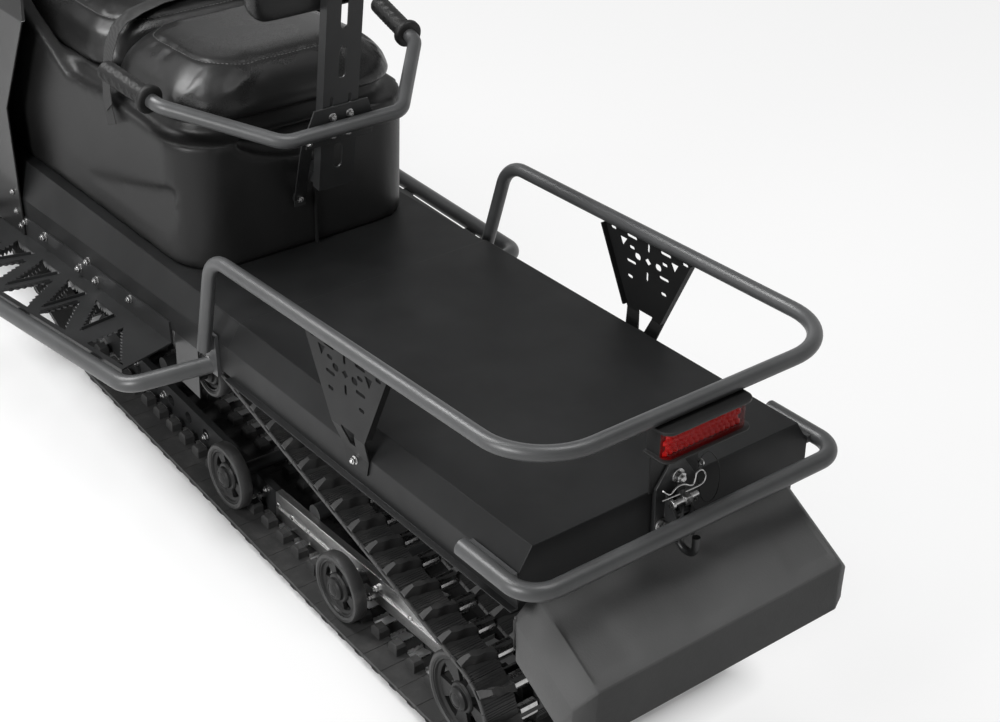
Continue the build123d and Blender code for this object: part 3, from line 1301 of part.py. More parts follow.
def front_bumper():
    start = FRONT_BUMPER_X - FRONT_BUMPER_RUN
    half = [(start, FRONT_BUMPER_HALF, FRONT_BUMPER_Z), (FRONT_BUMPER_X, FRONT_BUMPER_HALF, FRONT_BUMPER_Z)]
    hoop = tube(half + [(x, -y, z) for x, y, z in reversed(half)], 2 * FRONT_BUMPER_TUBE, FRONT_BUMPER_TUBE)
    pan = body_loft(PAN_SHARES, PAN_REAR, NOSE, BODY_HALF, -PAN_DEPTH, -SEAT_GAP)
    return hoop - Pos(0, 0, PAN_TOP) * pan


def on_steering(shape):
    """Places a shape drawn about the steering axis, z up the post, at the bar's height."""
    return Pos(STEER_X, 0, STEER_Z) * Rot(0, -STEER_LEAN, 0) * shape


def handlebar():
    """A bent bar clamped on a post, drawn about the steering axis."""
    half = BAR_SPAN / 2
    points = [(-BAR_SWEEP, half, BAR_RISE), (0, BAR_BEND_HALF, BAR_RISE), (0, BAR_CLAMP, 0)]
    bar = tube(points + [(x, -y, z) for x, y, z in reversed(points)], BAR_BEND, BAR_TUBE)
    bar += block((-BAR_CLAMP / 2, BAR_CLAMP / 2), (-BAR_CLAMP, BAR_CLAMP), (-BAR_TUBE, BAR_TUBE))
    bar += Cylinder(STEER_POST / 2, STEER_REACH, align=(Align.CENTER, Align.CENTER, Align.MAX))
    return bar


def bar_end():
    """Start and direction of the straight arm of the bar on the left."""
    tip = Vector(-BAR_SWEEP, BAR_SPAN / 2, BAR_RISE)
    back = (Vector(0, BAR_BEND_HALF, BAR_RISE) - tip).normalized()
    return tip, back


def bar_grips():
    tip, back = bar_end()
    root = tip + back * BAR_GRIP_LENGTH
    grip = rod(tip - back * GRIP_FLANGE_WIDTH, root, BAR_GRIP)
    grip += rod(root - back * GRIP_FLANGE_WIDTH, root, BAR_FLANGE)
    grip -= rod(tip, root + back * OVERRUN, BAR_TUBE)
    return Compound(both_sides(grip))


def bar_controls():
    """A switch housing and a lever each side, clamped round the bar."""
    tip, back = bar_end()
    start = tip + back * (BAR_GRIP_LENGTH + SEAT_GAP)
    housing = rod(start, start + back * CONTROL_LENGTH, CONTROL_DIAMETER)
    stand = Vector(LEVER_STAND, 0, 0)
    pivot = start + back * CONTROL_LENGTH / 2
    elbow = pivot + stand
    lever = rod(pivot, elbow, LEVER_TUBE) + rod(elbow, elbow - back * LEVER_LENGTH, LEVER_TUBE)
    lever += Pos(elbow) * Sphere(LEVER_TUBE)
    control = housing + lever - rod(tip, start + back * 2 * CONTROL_LENGTH, BAR_TUBE)
    return Compound(both_sides(control))


def on_leg(shape):
    """Places a shape drawn about the left leg, z up its axis, from the ski's pivot."""
    return Pos(LEG_X, SKI_STANCE / 2, LEG_Z) * Rot(0, -RAKE, 0) * shape


def ski():
    """A sheet with a turned-up tip and tail, two ribs, a runner under it and a loop over its tip."""
    front = LEG_X + SKI_AHEAD_SHARE * SKI_LENGTH
    back = front - SKI_LENGTH
    tip = SKI_TIP_SHARE * SKI_LENGTH
    tail = SKI_TAIL_SHARE * SKI_LENGTH
    half = SKI_WIDTH / 2
    low = [(back, SKI_FLOOR + SKI_TAIL_RISE), (back + tail, SKI_FLOOR), (front - tip, SKI_FLOOR),
           (front - tip / 2, SKI_FLOOR + SKI_TIP_RISE / 4), (front, SKI_FLOOR + SKI_TIP_RISE)]
    high = [(x, z + SKI_SHEET) for x, z in low]
    ribs = [(x, z + SKI_SHEET) for x, z in high]
    sheet = across(polygon(low + high[::-1]), -half, half)
    sheet += across(polygon(low + ribs[::-1]), half - SKI_RIB, half)
    sheet += across(polygon(low + ribs[::-1]), -half, -half + SKI_RIB)
    plan = rounded([(back, -half), (front, -half), (front, half), (back, half)],
                   [SKI_TAIL_ROUND, SKI_ROUND, SKI_ROUND, SKI_TAIL_ROUND])
    sheet &= upright(plan, 0, 2 * SKI_TIP_RISE)
    runner = [(back + tail, SKI_FLOOR), (back + tail + SKI_FLOOR, 0), (front - tip - SKI_FLOOR, 0),
              (front - tip, SKI_FLOOR)]
    sheet += across(polygon(runner), -RUNNER / 2, RUNNER / 2)
    foot = (front - tip, 0, SKI_FLOOR + SKI_SHEET / 2)
    top = (front - tip + LOOP_AHEAD, 0, SKI_FLOOR + LOOP_HEIGHT)
    end = (front - LOOP_TUBE, 0, SKI_FLOOR + SKI_TIP_RISE)
    return Pos(0, SKI_STANCE / 2, 0) * (sheet + tube([foot, top, end], LOOP_BEND, LOOP_TUBE))


def ski_leg():
    """The saddle on the ski, the leg that turns in the strut, and its steering arm."""
    top = SKI_FLOOR + SKI_SHEET
    wall = [(LEG_X - SADDLE_LENGTH / 2, top), (LEG_X + SADDLE_LENGTH / 2, top),
            (LEG_X + SADDLE_WIDTH / 2, top + SADDLE_HEIGHT), (LEG_X - SADDLE_WIDTH / 2, top + SADDLE_HEIGHT)]
    under = [(x, z - SADDLE_WALL) for x, z in wall]
    y = SKI_STANCE / 2
    half = SADDLE_WIDTH / 2
    saddle = across(polygon(wall), y - half, y + half)
    saddle -= across(polygon(under), y - half + SADDLE_WALL, y + half - SADDLE_WALL)
    leg = Cylinder(LEG_TUBE / 2, LEG_LENGTH, align=(Align.CENTER, Align.CENTER, Align.MIN))
    leg += block((-STEER_ARM, 0), (-STEER_ARM_WIDTH / 2, STEER_ARM_WIDTH / 2),
                 (STEER_ARM_AT, STEER_ARM_AT + STEER_ARM_THICK))
    return saddle + on_leg(leg)


def struts():
    """The strut tubes that the legs turn in, each held by two arms and a web on the pan's side."""
    whole = STRUT_START + STRUT_LENGTH
    grow = Align.CENTER, Align.CENTER, Align.MIN
    strut = on_leg(Pos(0, 0, STRUT_START) * Cylinder(STRUT_TUBE / 2, STRUT_LENGTH, align=grow))
    spots = [on_leg(Pos(0, 0, STRUT_START + at)).position for at in STRUT_ARMS]
    for spot in spots:
        strut += cross_rod(spot.X, spot.Z, BODY_HALF / 2, spot.Y, STRUT_ARM_TUBE)
    low, high = STRUT_ARMS
    strut += on_leg(block((-STRUT_WEB / 2, STRUT_WEB / 2), (BODY_HALF / 2 - SKI_STANCE / 2, 0),
                          (STRUT_START + low, STRUT_START + high)))
    strut -= on_leg(Cylinder(LEG_TUBE / 2 + LEG_CLEAR, 2 * whole))
    pan = body_loft(PAN_SHARES, PAN_REAR, NOSE, BODY_HALF, -PAN_DEPTH, -SEAT_GAP)
    return Compound(both_sides(strut - on_chassis(Pos(0, 0, PAN_TOP) * pan)))


def tie_eye():
    """Middle of the left tie rod's eye."""
    return on_leg(Pos(-STEER_ARM, 0, STEER_ARM_AT + STEER_ARM_THICK + TIE_TUBE / 2 + TIE_GAP)).position


def tie_rod():
    """The rod from inside the pan to the steering arm, with an eye that lies over the arm's end."""
    eye = tie_eye()
    shape = rod((eye.X, eye.Y - TIE_LENGTH, eye.Z), eye, TIE_TUBE)
    disc = Cylinder(TIE_EYE / 2, TIE_TUBE)
    return shape + on_leg(Pos(-STEER_ARM, 0, STEER_ARM_AT + STEER_ARM_THICK + TIE_TUBE / 2 + TIE_GAP) * disc)


NODES = {
    "tunnel": on_chassis(tunnel()),
    "tunnel_rear": on_chassis(tunnel_rear()),
    "rack": on_chassis(rack()),
    "gussets": on_chassis(gussets()),
    "rear_bumper": on_chassis(rear_bumper()),
    "snow_flap": on_chassis(snow_flap()),
    "seat_base": on_chassis(seat_base()),
    "grab_handle": on_chassis(grab_handle()),
    "grab_grips": on_chassis(grab_grips()),
    "grab_plate": on_chassis(grab_plate()),
    "backrest_post": on_chassis(backrest_post()),
    "backrest_brace": on_chassis(backrest_brace()),
    "backrest_pad": on_chassis(backrest_pad()),
    "boards": on_chassis(running_boards()),
    "board_tubes": on_chassis(board_tubes()),
    "track": track(),
    "skid_shafts": skid_shafts(),
    "skid_rails": skid_rails(),
    "skid_rear_rails": skid_rear_rails(),
    "skid_arms": skid_arms(),
    "skid_shock": skid_shock(),
    "carrier_hangers": carrier_hangers(),
    "drive_axle": drive_axle(),
    "belly_pan": belly_pan(),
    "engine_block": on_chassis(engine_block()),
    "console": on_chassis(console()),
    "cowls": on_chassis(cowls()),
    "front_bumper": on_chassis(front_bumper()),
    "hood": on_chassis(hood()),
    "gauge_pod": on_chassis(gauge_pod()),
    "headlamp": on_chassis(headlamp()),
    "windshield": on_chassis(windshield()),
    "handlebar": on_chassis(on_steering(handlebar())),
    "bar_grips": on_chassis(on_steering(bar_grips())),
    "bar_controls": on_chassis(on_steering(bar_controls())),
    "struts": struts(),
}
NODES["lamp_housing"], NODES["lamp_lens"] = [on_chassis(piece) for piece in tail_lamp()]
NODES["hitch_bracket"], NODES["hitch_hook"] = [on_chassis(piece) for piece in hitch()]
NODES["cushion_passenger"], NODES["cushion_rider"] = [on_chassis(piece) for piece in cushions()]
NODES["road_wheels"], NODES["rear_idlers"], NODES["carrier_wheels"] = skid_wheels()
for name, shape in (("ski", ski()), ("ski_leg", ski_leg()), ("tie_rod", tie_rod())):
    NODES[name + "_left"], NODES[name + "_right"] = both_sides(shape)

whole = Compound(list(NODES.values())).bounding_box()
TO_MIDDLE = Pos(-(whole.min.X + whole.max.X) / 2, 0, -whole.min.Z)
os.makedirs("parts", exist_ok=True)
for name, shape in NODES.items():
    export_step(TO_MIDDLE * shape, f"parts/{name}.step")
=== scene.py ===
import bpy, bmesh, json
from math import acos, atan2, ceil, cos, exp, hypot, pi, radians, sin, tan
from mathutils import Matrix, Vector
from mathutils.bvhtree import BVHTree
from mathutils.kdtree import KDTree


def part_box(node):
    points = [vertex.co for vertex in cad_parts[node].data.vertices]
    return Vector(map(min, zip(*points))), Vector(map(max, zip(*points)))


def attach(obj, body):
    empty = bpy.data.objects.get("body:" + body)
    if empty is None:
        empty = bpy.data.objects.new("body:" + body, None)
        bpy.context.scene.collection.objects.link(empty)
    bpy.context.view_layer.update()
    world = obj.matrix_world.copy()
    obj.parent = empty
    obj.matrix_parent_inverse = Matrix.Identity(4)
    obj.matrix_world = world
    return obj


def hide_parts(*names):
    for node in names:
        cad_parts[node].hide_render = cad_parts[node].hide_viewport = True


# A parked snowmobile, seen from behind and above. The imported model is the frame; this script dresses it.
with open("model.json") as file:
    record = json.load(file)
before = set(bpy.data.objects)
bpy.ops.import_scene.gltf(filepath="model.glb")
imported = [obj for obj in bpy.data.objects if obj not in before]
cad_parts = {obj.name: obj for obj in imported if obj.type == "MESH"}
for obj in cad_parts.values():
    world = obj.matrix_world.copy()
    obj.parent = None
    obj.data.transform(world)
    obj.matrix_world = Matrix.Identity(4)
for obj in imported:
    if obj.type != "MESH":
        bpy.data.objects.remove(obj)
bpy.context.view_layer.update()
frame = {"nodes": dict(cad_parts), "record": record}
MM = 0.001
NODES = frame["nodes"]
ROOT = "chassis"

# The deck falls towards the front, so its pieces are placed in the deck's own frame: millimetres, x forward from
# the middle of the deck's rear edge, y left, z square to the deck. GROUND has the same origin, level.
TILT = radians(4.5)
DECK_HEIGHT = 554
IDLER_REAR = 83
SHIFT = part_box("rear_idlers")[0].x / MM - IDLER_REAR
DECK = Matrix.Translation((SHIFT * MM, 0, DECK_HEIGHT * MM)) @ Matrix.Rotation(TILT, 4, "Y") @ Matrix.Scale(MM, 4)
GROUND = Matrix.Translation((SHIFT * MM, 0, 0)) @ Matrix.Scale(MM, 4)
POST_LEAN = radians(9)
HANDLE_REAR, HANDLE_Z = 828, 266
POST = DECK @ Matrix.Translation((HANDLE_REAR, 0, HANDLE_Z)) @ Matrix.Rotation(-POST_LEAN, 4, "Y")
BOARD_REAR, BOARD_Z, BOARD_TILT = 950, -122, radians(2.5)
BOARD = DECK @ Matrix.Translation((BOARD_REAR, 0, BOARD_Z)) @ Matrix.Rotation(BOARD_TILT, 4, "Y")
ABOUT_Y = Matrix.Rotation(radians(-90), 4, "X")
SIDES = (1, -1)


# ---- node trees


class Wire:
    """One output of a node. Sums and products of wires add Math nodes to the same tree."""

    def __init__(self, net, socket):
        self.net, self.socket = net, socket

    def math(self, operation, *others):
        return self.net.add("ShaderNodeMath", {"operation": operation}, dict(enumerate((self,) + others)))

    def __add__(self, other):
        return self.math("ADD", other)

    def __sub__(self, other):
        return self.math("SUBTRACT", other)

    def __mul__(self, other):
        return self.math("MULTIPLY", other)

    def __truediv__(self, other):
        return self.math("DIVIDE", other)

    def __pow__(self, other):
        return self.math("POWER", other)

    def __rsub__(self, other):
        return self.net.add("ShaderNodeMath", {"operation": "SUBTRACT"}, {0: other, 1: self})

    __radd__ = __add__
    __rmul__ = __mul__

    def out(self, name):
        return Wire(self.net, self.socket.node.outputs[name])


class Net:
    """A node tree being wired up. One method adds any node."""

    def __init__(self, tree):
        self.tree = tree

    def add(self, kind, settings=None, inputs=None, out=0):
        node = self.tree.nodes.new(kind)
        for name, value in (settings or {}).items():
            if name == "stops":
                self.stops(node.color_ramp, value)
            else:
                setattr(node, name, value)
        for name, value in (inputs or {}).items():
            if isinstance(value, Wire):
                self.tree.links.new(value.socket, node.inputs[name])
            else:
                node.inputs[name].default_value = value
        return Wire(self, node.outputs[out]) if node.outputs else node

    def stops(self, ramp, stops):
        while len(ramp.elements) < len(stops):
            ramp.elements.new(0.5)
        for element, (place, value) in zip(ramp.elements, stops):
            element.position = place
            element.color = value if isinstance(value, tuple) else (value, value, value, 1)


def grey(value, warmth=0.0):
    return (value * (1 + warmth), value, value * (1 - warmth), 1)


class Finish(Net):
    """A material: its patterns read Object coordinates, in metres."""

    def __init__(self, name, **sockets):
        self.material = bpy.data.materials.new(name)
        self.material.use_nodes = True
        super().__init__(self.material.node_tree)
        self.surface = self.tree.nodes["Principled BSDF"]
        self.coords = self.add("ShaderNodeTexCoord").out("Object")
        for socket, value in sockets.items():
            self.set(socket.replace("_", " "), value)

    def set(self, socket, value):
        if isinstance(value, Wire):
            self.tree.links.new(value.socket, self.surface.inputs[socket])
        else:
            self.surface.inputs[socket].default_value = value

    def stretched(self, stretch):
        if not stretch:
            return self.coords
        return self.add("ShaderNodeMapping", {}, {"Vector": self.coords, "Scale": stretch})

    def noise(self, scale, detail=2.0, stretch=None, rough=0.5):
        return self.add("ShaderNodeTexNoise", {}, {"Vector": self.stretched(stretch), "Scale": scale,
                                                   "Detail": detail, "Roughness": rough}).out("Fac")

    def cells(self, scale, feature="F1", stretch=None):
        return self.add("ShaderNodeTexVoronoi", {"feature": feature},
                        {"Vector": self.stretched(stretch), "Scale": scale}).out("Distance")

    def ramp(self, value, low, high):
        """value moved from the range low..high to 0..1, clamped."""
        return self.add("ShaderNodeMapRange", {}, {"Value": value, "From Min": low, "From Max": high})

    def mix(self, factor, a, b):
        """Colour a where factor is 0 and b where it is 1."""
        return self.add("ShaderNodeMix", {"data_type": "RGBA"}, {"Factor": factor, 6: a, 7: b}, out=2)

    def colour(self, factor, a, b):
        self.set("Base Color", self.mix(factor, a, b))

    def bump(self, height, strength, depth):
        self.set("Normal", self.add("ShaderNodeBump", {}, {"Height": height, "Strength": strength,
                                                           "Distance": depth}))


def powder_coat(name, base, rough, grain=1500, gloss=0.35):
    """Satin powder coat on metal: an orange-peel surface with a little dust."""
    coat = Finish(name, Metallic=0.0, Specular_IOR_Level=gloss)
    dust = coat.ramp(coat.noise(5, 5, rough=0.65), 0.42, 0.75)
    coat.colour(dust, grey(base, -0.02), grey(base * 1.5 + 0.001, -0.02))
    coat.set("Roughness", coat.ramp(coat.noise(14, 4), 0.2, 0.8) * 0.10 + (rough - 0.05))
    coat.bump(coat.noise(grain, 2), 0.14, 0.0004)
    return coat.material


def moulded(name, base, rough, grain, depth=0.0005, gloss=0.32):
    """Injection-moulded plastic with a stippled skin."""
    plastic = Finish(name, Specular_IOR_Level=gloss)
    haze = plastic.ramp(plastic.noise(4, 4), 0.35, 0.75)
    plastic.colour(haze, grey(base), grey(base * 1.4 + 0.001))
    plastic.set("Roughness", plastic.ramp(plastic.noise(grain * 0.4, 2), 0.2, 0.8) * 0.12 + (rough - 0.06))
    plastic.bump(plastic.noise(grain, 3, rough=0.6), 0.30, depth)
    return plastic.material


def vinyl(name, base, rough, grain=420, gloss=0.42):
    """Grained seat vinyl: closed cells with fine creases between them, and soft wear."""
    skin = Finish(name, Specular_IOR_Level=gloss)
    creases = skin.ramp(skin.cells(grain, "DISTANCE_TO_EDGE"), 0.0, 0.16)
    worn = skin.ramp(skin.noise(7, 4), 0.40, 0.75)
    skin.colour(worn, grey(base), grey(base * 1.5 + 0.001))
    skin.set("Roughness", (1 - creases) * 0.08 + worn * 0.07 + (rough - 0.05))
    skin.bump(creases * 0.6 + skin.noise(grain * 2.5, 2) * 0.25 + skin.noise(22, 3) * 1.6, 0.22, 0.0006)
    return skin.material


def rubber(name, base, rough, grain=700, gloss=0.30):
    """Moulded rubber with dry dust and scuffs."""
    sole = Finish(name, Specular_IOR_Level=gloss)
    dust = sole.ramp(sole.noise(22, 6, rough=0.7), 0.50, 0.82)
    sole.colour(dust, grey(base), grey(base * 1.9 + 0.003, 0.02))
    sole.set("Roughness", dust * 0.12 + rough)
    sole.bump(sole.noise(grain, 4, rough=0.65), 0.30, 0.0006)
    return sole.material


def metal(name, base, rough, stretch=None, grain=160):
    """Bare metal: plated, or brushed along one axis where stretch is given."""
    bare = Finish(name, Metallic=1.0)
    streaks = bare.noise(grain, 3, stretch)
    bare.colour(bare.ramp(streaks, 0.3, 0.75), grey(base * 0.75, 0.01), grey(base))
    bare.set("Roughness", bare.ramp(streaks, 0.25, 0.75) * 0.14 + (rough - 0.05))
    bare.bump(streaks, 0.10, 0.0003)
    return bare.material


def clear(name, base, rough, alpha, gloss=0.5):
    """Clear or tinted plastic, see-through to alpha."""
    pane = Finish(name, Alpha=alpha, IOR=1.49, Specular_IOR_Level=gloss)
    shade = tuple(channel * 0.9 for channel in base[:3]) + (1,)
    pane.colour(pane.ramp(pane.noise(6, 3), 0.4, 0.7), base, shade)
    pane.set("Roughness", pane.noise(30, 3) * 0.05 + rough)
    return pane.material


def gloss_panel(name, base):
    """Glossy body panel with a very light orange peel."""
    panel = Finish(name, Coat_Roughness=0.06, Specular_IOR_Level=0.4)
    panel.colour(panel.ramp(panel.noise(3, 3), 0.35, 0.7), grey(base), grey(base * 1.25))
    panel.set("Coat Weight", panel.ramp(panel.noise(5, 2), 0.2, 0.8) * 0.1 + 0.10)
    panel.set("Roughness", panel.noise(9, 3) * 0.08 + 0.28)
    panel.bump(panel.noise(220, 1), 0.05, 0.0003)
    return panel.material


def woven(name, base, pitch):
    """Webbing: ribs across the strap and fine yarns along it."""
    cloth = Finish(name, Specular_IOR_Level=0.3)
    ribs = cloth.add("ShaderNodeTexWave", {"bands_direction": "Z"}, {"Vector": cloth.coords,
                     "Scale": 1 / (pitch * 2 * pi), "Distortion": 1.5, "Detail": 2.0}).out("Fac")
    yarn = cloth.noise(1400, 3)
    cloth.colour(ribs * 0.6 + yarn * 0.4, grey(base * 0.5), grey(base * 1.5))
    cloth.set("Roughness", yarn * 0.1 + 0.72)
    cloth.bump(ribs * 0.7 + yarn * 0.3, 0.5, 0.0006)
    return cloth.material


MATERIALS = {
    "frame_black": powder_coat("satin_powder", 0.017, 0.38, gloss=0.42),
    "moulded_black": moulded("moulded_plastic", 0.012, 0.42, 900, gloss=0.25),
    "seat_vinyl": vinyl("seat_vinyl", 0.008, 0.31, gloss=0.42),
    "soft_rubber": rubber("grip_rubber", 0.010, 0.50),
    "track_rubber": rubber("belt_rubber", 0.036, 0.46, 450),
    "bright_steel": metal("zinc_steel", 0.60, 0.26),
    "bright_alloy": metal("rail_alloy", 0.80, 0.30, (1, 30, 30)),
    "cast_grey": metal("cast_alloy", 0.22, 0.55, grain=400),
    "body_gloss": gloss_panel("body_panel", 0.010),
    "red_lens": clear("lamp_red", (0.34, 0.002, 0.002, 1), 0.10, 0.30, 0.2),
    "clear_lens": clear("lamp_clear", (0.80, 0.83, 0.86, 1), 0.06, 0.55),
    "smoke_screen": clear("smoked_screen", (0.012, 0.013, 0.014, 1), 0.07, 0.60),
}
# Finishes of the scene's own pieces: material, and the record's slot that it belongs to
FINISH = {slot: (material, slot) for slot, material in MATERIALS.items()}
FINISH.update({
    "flap_hide": (moulded("flap_plastic", 0.085, 0.55, 260, 0.0016, 0.10), "moulded_black"),
    "base_skin": (vinyl("base_skin", 0.009, 0.38, 600, 0.28), "moulded_black"),
    "deck_coat": (powder_coat("deck_coat", 0.0105, 0.46, 1100, 0.18), "frame_black"),
    # The tubes' coat is the satin powder coat made several times paler: painted highlight, so the rack, bumper, grab
    # handle and board tubes look lit along their length.
    "tube_coat": (powder_coat("tube_coat", 0.045, 0.40, gloss=0.6), "frame_black"),
    "thread": (rubber("grey_thread", 0.10, 0.75, 2500), "seat_vinyl"),
    "webbing": (woven("webbing", 0.030, 0.0022), "seat_vinyl"),
    "black_wire": (rubber("coated_wire", 0.008, 0.45, 900), "moulded_black"),
    "reflector": (clear("lamp_cells", (0.90, 0.012, 0.010, 1), 0.12, 1.0), "red_lens"),
    "dark_plate": (powder_coat("dark_plate", 0.006, 0.55, 900, 0.25), "frame_black"),
})
# CAD nodes whose material differs from their slot's own
DRESSED = {
    "flap_hide": ["snow_flap"], "base_skin": ["seat_base", "console"], "deck_coat": ["tunnel_rear", "tunnel"],
    "frame_black": ["skid_shafts"], "tube_coat": ["rack", "rear_bumper", "grab_handle", "board_tubes"],
    "dark_plate": ["gussets"],
}

for item in frame["record"]["subparts"]:
    slots = NODES[item["node"]].data.materials
    slots.clear()
    slots.append(MATERIALS[item["material_slot"]])
for finish, names in DRESSED.items():
    for name in names:
        NODES[name].data.materials[0] = FINISH[finish][0]


# ---- meshes


SAME_POINT = 0.00002


class Shape:
    """Corners and faces in millimetres, gathered before they become one mesh."""

    def __init__(self):
        self.corners, self.faces = [], []

    def skin(self, rings, closed=True, caps=True):
        """Faces between rings that have the same number of corners, and a cap at each end."""
        base, count = len(self.corners), len(rings[0])
        self.corners += [Vector(corner) for ring in rings for corner in ring]
        for level in range(len(rings) - 1):
            for step in range(count if closed else count - 1):
                a = base + level * count + step
                b = base + level * count + (step + 1) % count
                self.faces.append((a, b, b + count, a + count))
        if caps:
            last = base + (len(rings) - 1) * count
            self.faces += [tuple(range(base, base + count))[::-1], tuple(range(last, last + count))]
        return self

    def block(self, x, y, z, place=Matrix()):
        """A box between the given (low, high) pairs."""
        flat = [(x[0], y[0]), (x[1], y[0]), (x[1], y[1]), (x[0], y[1])]
        return self.slab(flat, z[0], z[1], place)

    def slab(self, outline, low, high, place=Matrix()):
        """An outline in the place's x and y, made solid from low to high along its z."""
        return self.skin([[place @ Vector((a, b, height)) for a, b in outline] for height in (low, high)])

    def turned(self, profile, place=Matrix(), steps=32, caps=True):
        """A profile of (radius, height) spun about the place's z axis."""
        rings = []
        for radius, height in profile:
            turns = [2 * pi * step / steps for step in range(steps)]
            rings.append([place @ Vector((radius * cos(turn), radius * sin(turn), height)) for turn in turns])
        return self.skin(rings, caps=caps)

    def mesh(self, name, space, sharp=35):
        mesh = bpy.data.meshes.new(name)
        mesh.from_pydata([space @ corner for corner in self.corners], [], self.faces)
        return cleaned(mesh, sharp)


def cleaned(mesh, sharp=35):
    """Doubles merged, faces pointing out, shading smooth up to the sharp angle."""
    work = bmesh.new()
    work.from_mesh(mesh)
    bmesh.ops.remove_doubles(work, verts=work.verts, dist=SAME_POINT)
    bmesh.ops.recalc_face_normals(work, faces=work.faces)
    work.to_mesh(mesh)
    work.free()
    mesh.shade_smooth()
    mesh.set_sharp_from_angle(angle=radians(sharp))
    return mesh


def linked(name, data):
    made = bpy.data.objects.new(name, data)
    bpy.context.collection.objects.link(made)
    return made


def modify(made, name, kind, **settings):
    """Adds a modifier to an object."""
    modifier = made.modifiers.new(name, kind)
    for key, value in settings.items():
        setattr(modifier, key, value)
    return made


def edge_rounding(made, name, width, angle):
    modify(made, name, "BEVEL", width=width * MM, segments=2, limit_method="ANGLE", angle_limit=radians(angle))


def piece(name, mesh, finish, body=ROOT, stands_for=(), bevel=0.0, levels=0):
    """One finished piece of the machine, riding on a body."""
    made = linked(name, mesh)
    material, slot = FINISH[finish]
    mesh.materials.clear()
    mesh.materials.append(material)
    if bevel:
        edge_rounding(made, "bevel", bevel, 40)
    if levels:
        modify(made, "smooth", "SUBSURF", levels=levels, render_levels=levels)
    if stands_for:
        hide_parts(*stands_for)
    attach(made, body)
    return made


def evaluated(made):
    """The object's mesh with its modifiers applied; the object itself goes."""
    graph = bpy.context.evaluated_depsgraph_get()
    mesh = bpy.data.meshes.new_from_object(made.evaluated_get(graph), preserve_all_data_layers=True, depsgraph=graph)
    bpy.data.objects.remove(made)
    return mesh


def worked(name, mesh, kind, **settings):
    """The mesh as one modifier leaves it."""
    return evaluated(modify(linked(name, mesh), kind.lower(), kind, **settings))


def wire(name, points, radius, space, order=3, closed=False):
    """A smooth round wire along points, as a mesh."""
    curve = bpy.data.curves.new(name, "CURVE")
    curve.dimensions, curve.bevel_depth, curve.bevel_resolution = "3D", radius * MM, 3
    curve.resolution_u, curve.use_fill_caps = 8, True
    line = curve.splines.new("NURBS")
    line.points.add(len(points) - 1)
    for point, place in zip(line.points, points):
        point.co = (space @ Vector(place)).to_4d()
    line.order_u, line.use_endpoint_u, line.use_cyclic_u = order, not closed, closed
    return cleaned(evaluated(linked(name, curve)))


# ---- what repeats, by geometry nodes


class Grower(Net):
    """A geometry tree with named inputs. It is run on a mesh, and the result is kept as a plain mesh."""

    def __init__(self, name, **inputs):
        super().__init__(bpy.data.node_groups.new(name, "GeometryNodeTree"))
        face = self.tree.interface
        face.new_socket("Geometry", in_out="INPUT", socket_type="NodeSocketGeometry")
        for label, kind in dict(inputs, Material="Material").items():
            face.new_socket(label, in_out="INPUT", socket_type="NodeSocket" + kind)
        face.new_socket("Geometry", in_out="OUTPUT", socket_type="NodeSocketGeometry")
        self.given = self.add("NodeGroupInput")

    def part(self, label):
        """The mesh of the object that goes in by that name."""
        return self.add("GeometryNodeObjectInfo", {}, {"Object": self.given.out(label)}, out="Geometry")

    def end(self, geometry):
        real = self.add("GeometryNodeRealizeInstances", {}, {0: geometry})
        painted = self.add("GeometryNodeSetMaterial", {}, {0: real, "Material": self.given.out("Material")})
        self.add("NodeGroupOutput", {}, {0: painted})
        return self

    def grow(self, name, seed, finish, sharp=35, **values):
        """Runs the tree on the seed mesh. A mesh among the values goes in as an object of its own."""
        carrier = linked(name, seed)
        modifier = carrier.modifiers.new("grow", "NODES")
        modifier.node_group = self.tree
        parts = []
        values["Material"] = FINISH[finish][0]
        for item in self.tree.interface.items_tree:
            if item.in_out == "INPUT" and item.name in values:
                value = values[item.name]
                if isinstance(value, bpy.types.Mesh):
                    value = linked(name + "_part", value)
                    parts.append(value)
                modifier[item.identifier] = value
        mesh = evaluated(carrier)
        for part in parts:
            bpy.data.objects.remove(part)
        return cleaned(mesh, sharp)


def links_on_loop():
    """One link, repeated along the x axis and wrapped round a closed loop in the x-z plane."""
    net = Grower("links_on_loop", Link="Object", Count="Int", Pitch="Float")
    given = net.given
    loop = net.add("GeometryNodeMeshToCurve", {}, {0: given})
    step = net.add("ShaderNodeCombineXYZ", {}, {0: given.out("Pitch")})
    row = net.add("GeometryNodeMeshLine", {"mode": "OFFSET"}, {"Count": given.out("Count"), "Offset": step})
    link = net.part("Link")
    placed = net.add("GeometryNodeInstanceOnPoints", {}, {"Points": row, "Instance": link})
    solid = net.add("GeometryNodeRealizeInstances", {}, {0: placed})
    parts = net.add("ShaderNodeSeparateXYZ", {}, {0: net.add("GeometryNodeInputPosition")})
    total = net.add("GeometryNodeCurveLength", {}, {0: loop})
    way = parts.out("X").math("FLOORED_MODULO", total)
    spot = net.add("GeometryNodeSampleCurve", {"mode": "LENGTH"}, {"Curves": loop, "Length": way}, out="Position")
    outward = net.add("ShaderNodeVectorMath", {"operation": "CROSS_PRODUCT"},
                      {0: (0, 1, 0), 1: spot.out("Tangent")})
    lift = net.add("ShaderNodeVectorMath", {"operation": "SCALE"}, {0: outward, "Scale": parts.out("Z")})
    side = net.add("ShaderNodeCombineXYZ", {}, {1: parts.out("Y")})
    for part in (lift, side):
        spot = net.add("ShaderNodeVectorMath", {"operation": "ADD"}, {0: spot, 1: part})
    return net.end(net.add("GeometryNodeSetPosition", {}, {"Geometry": solid, "Position": spot}))


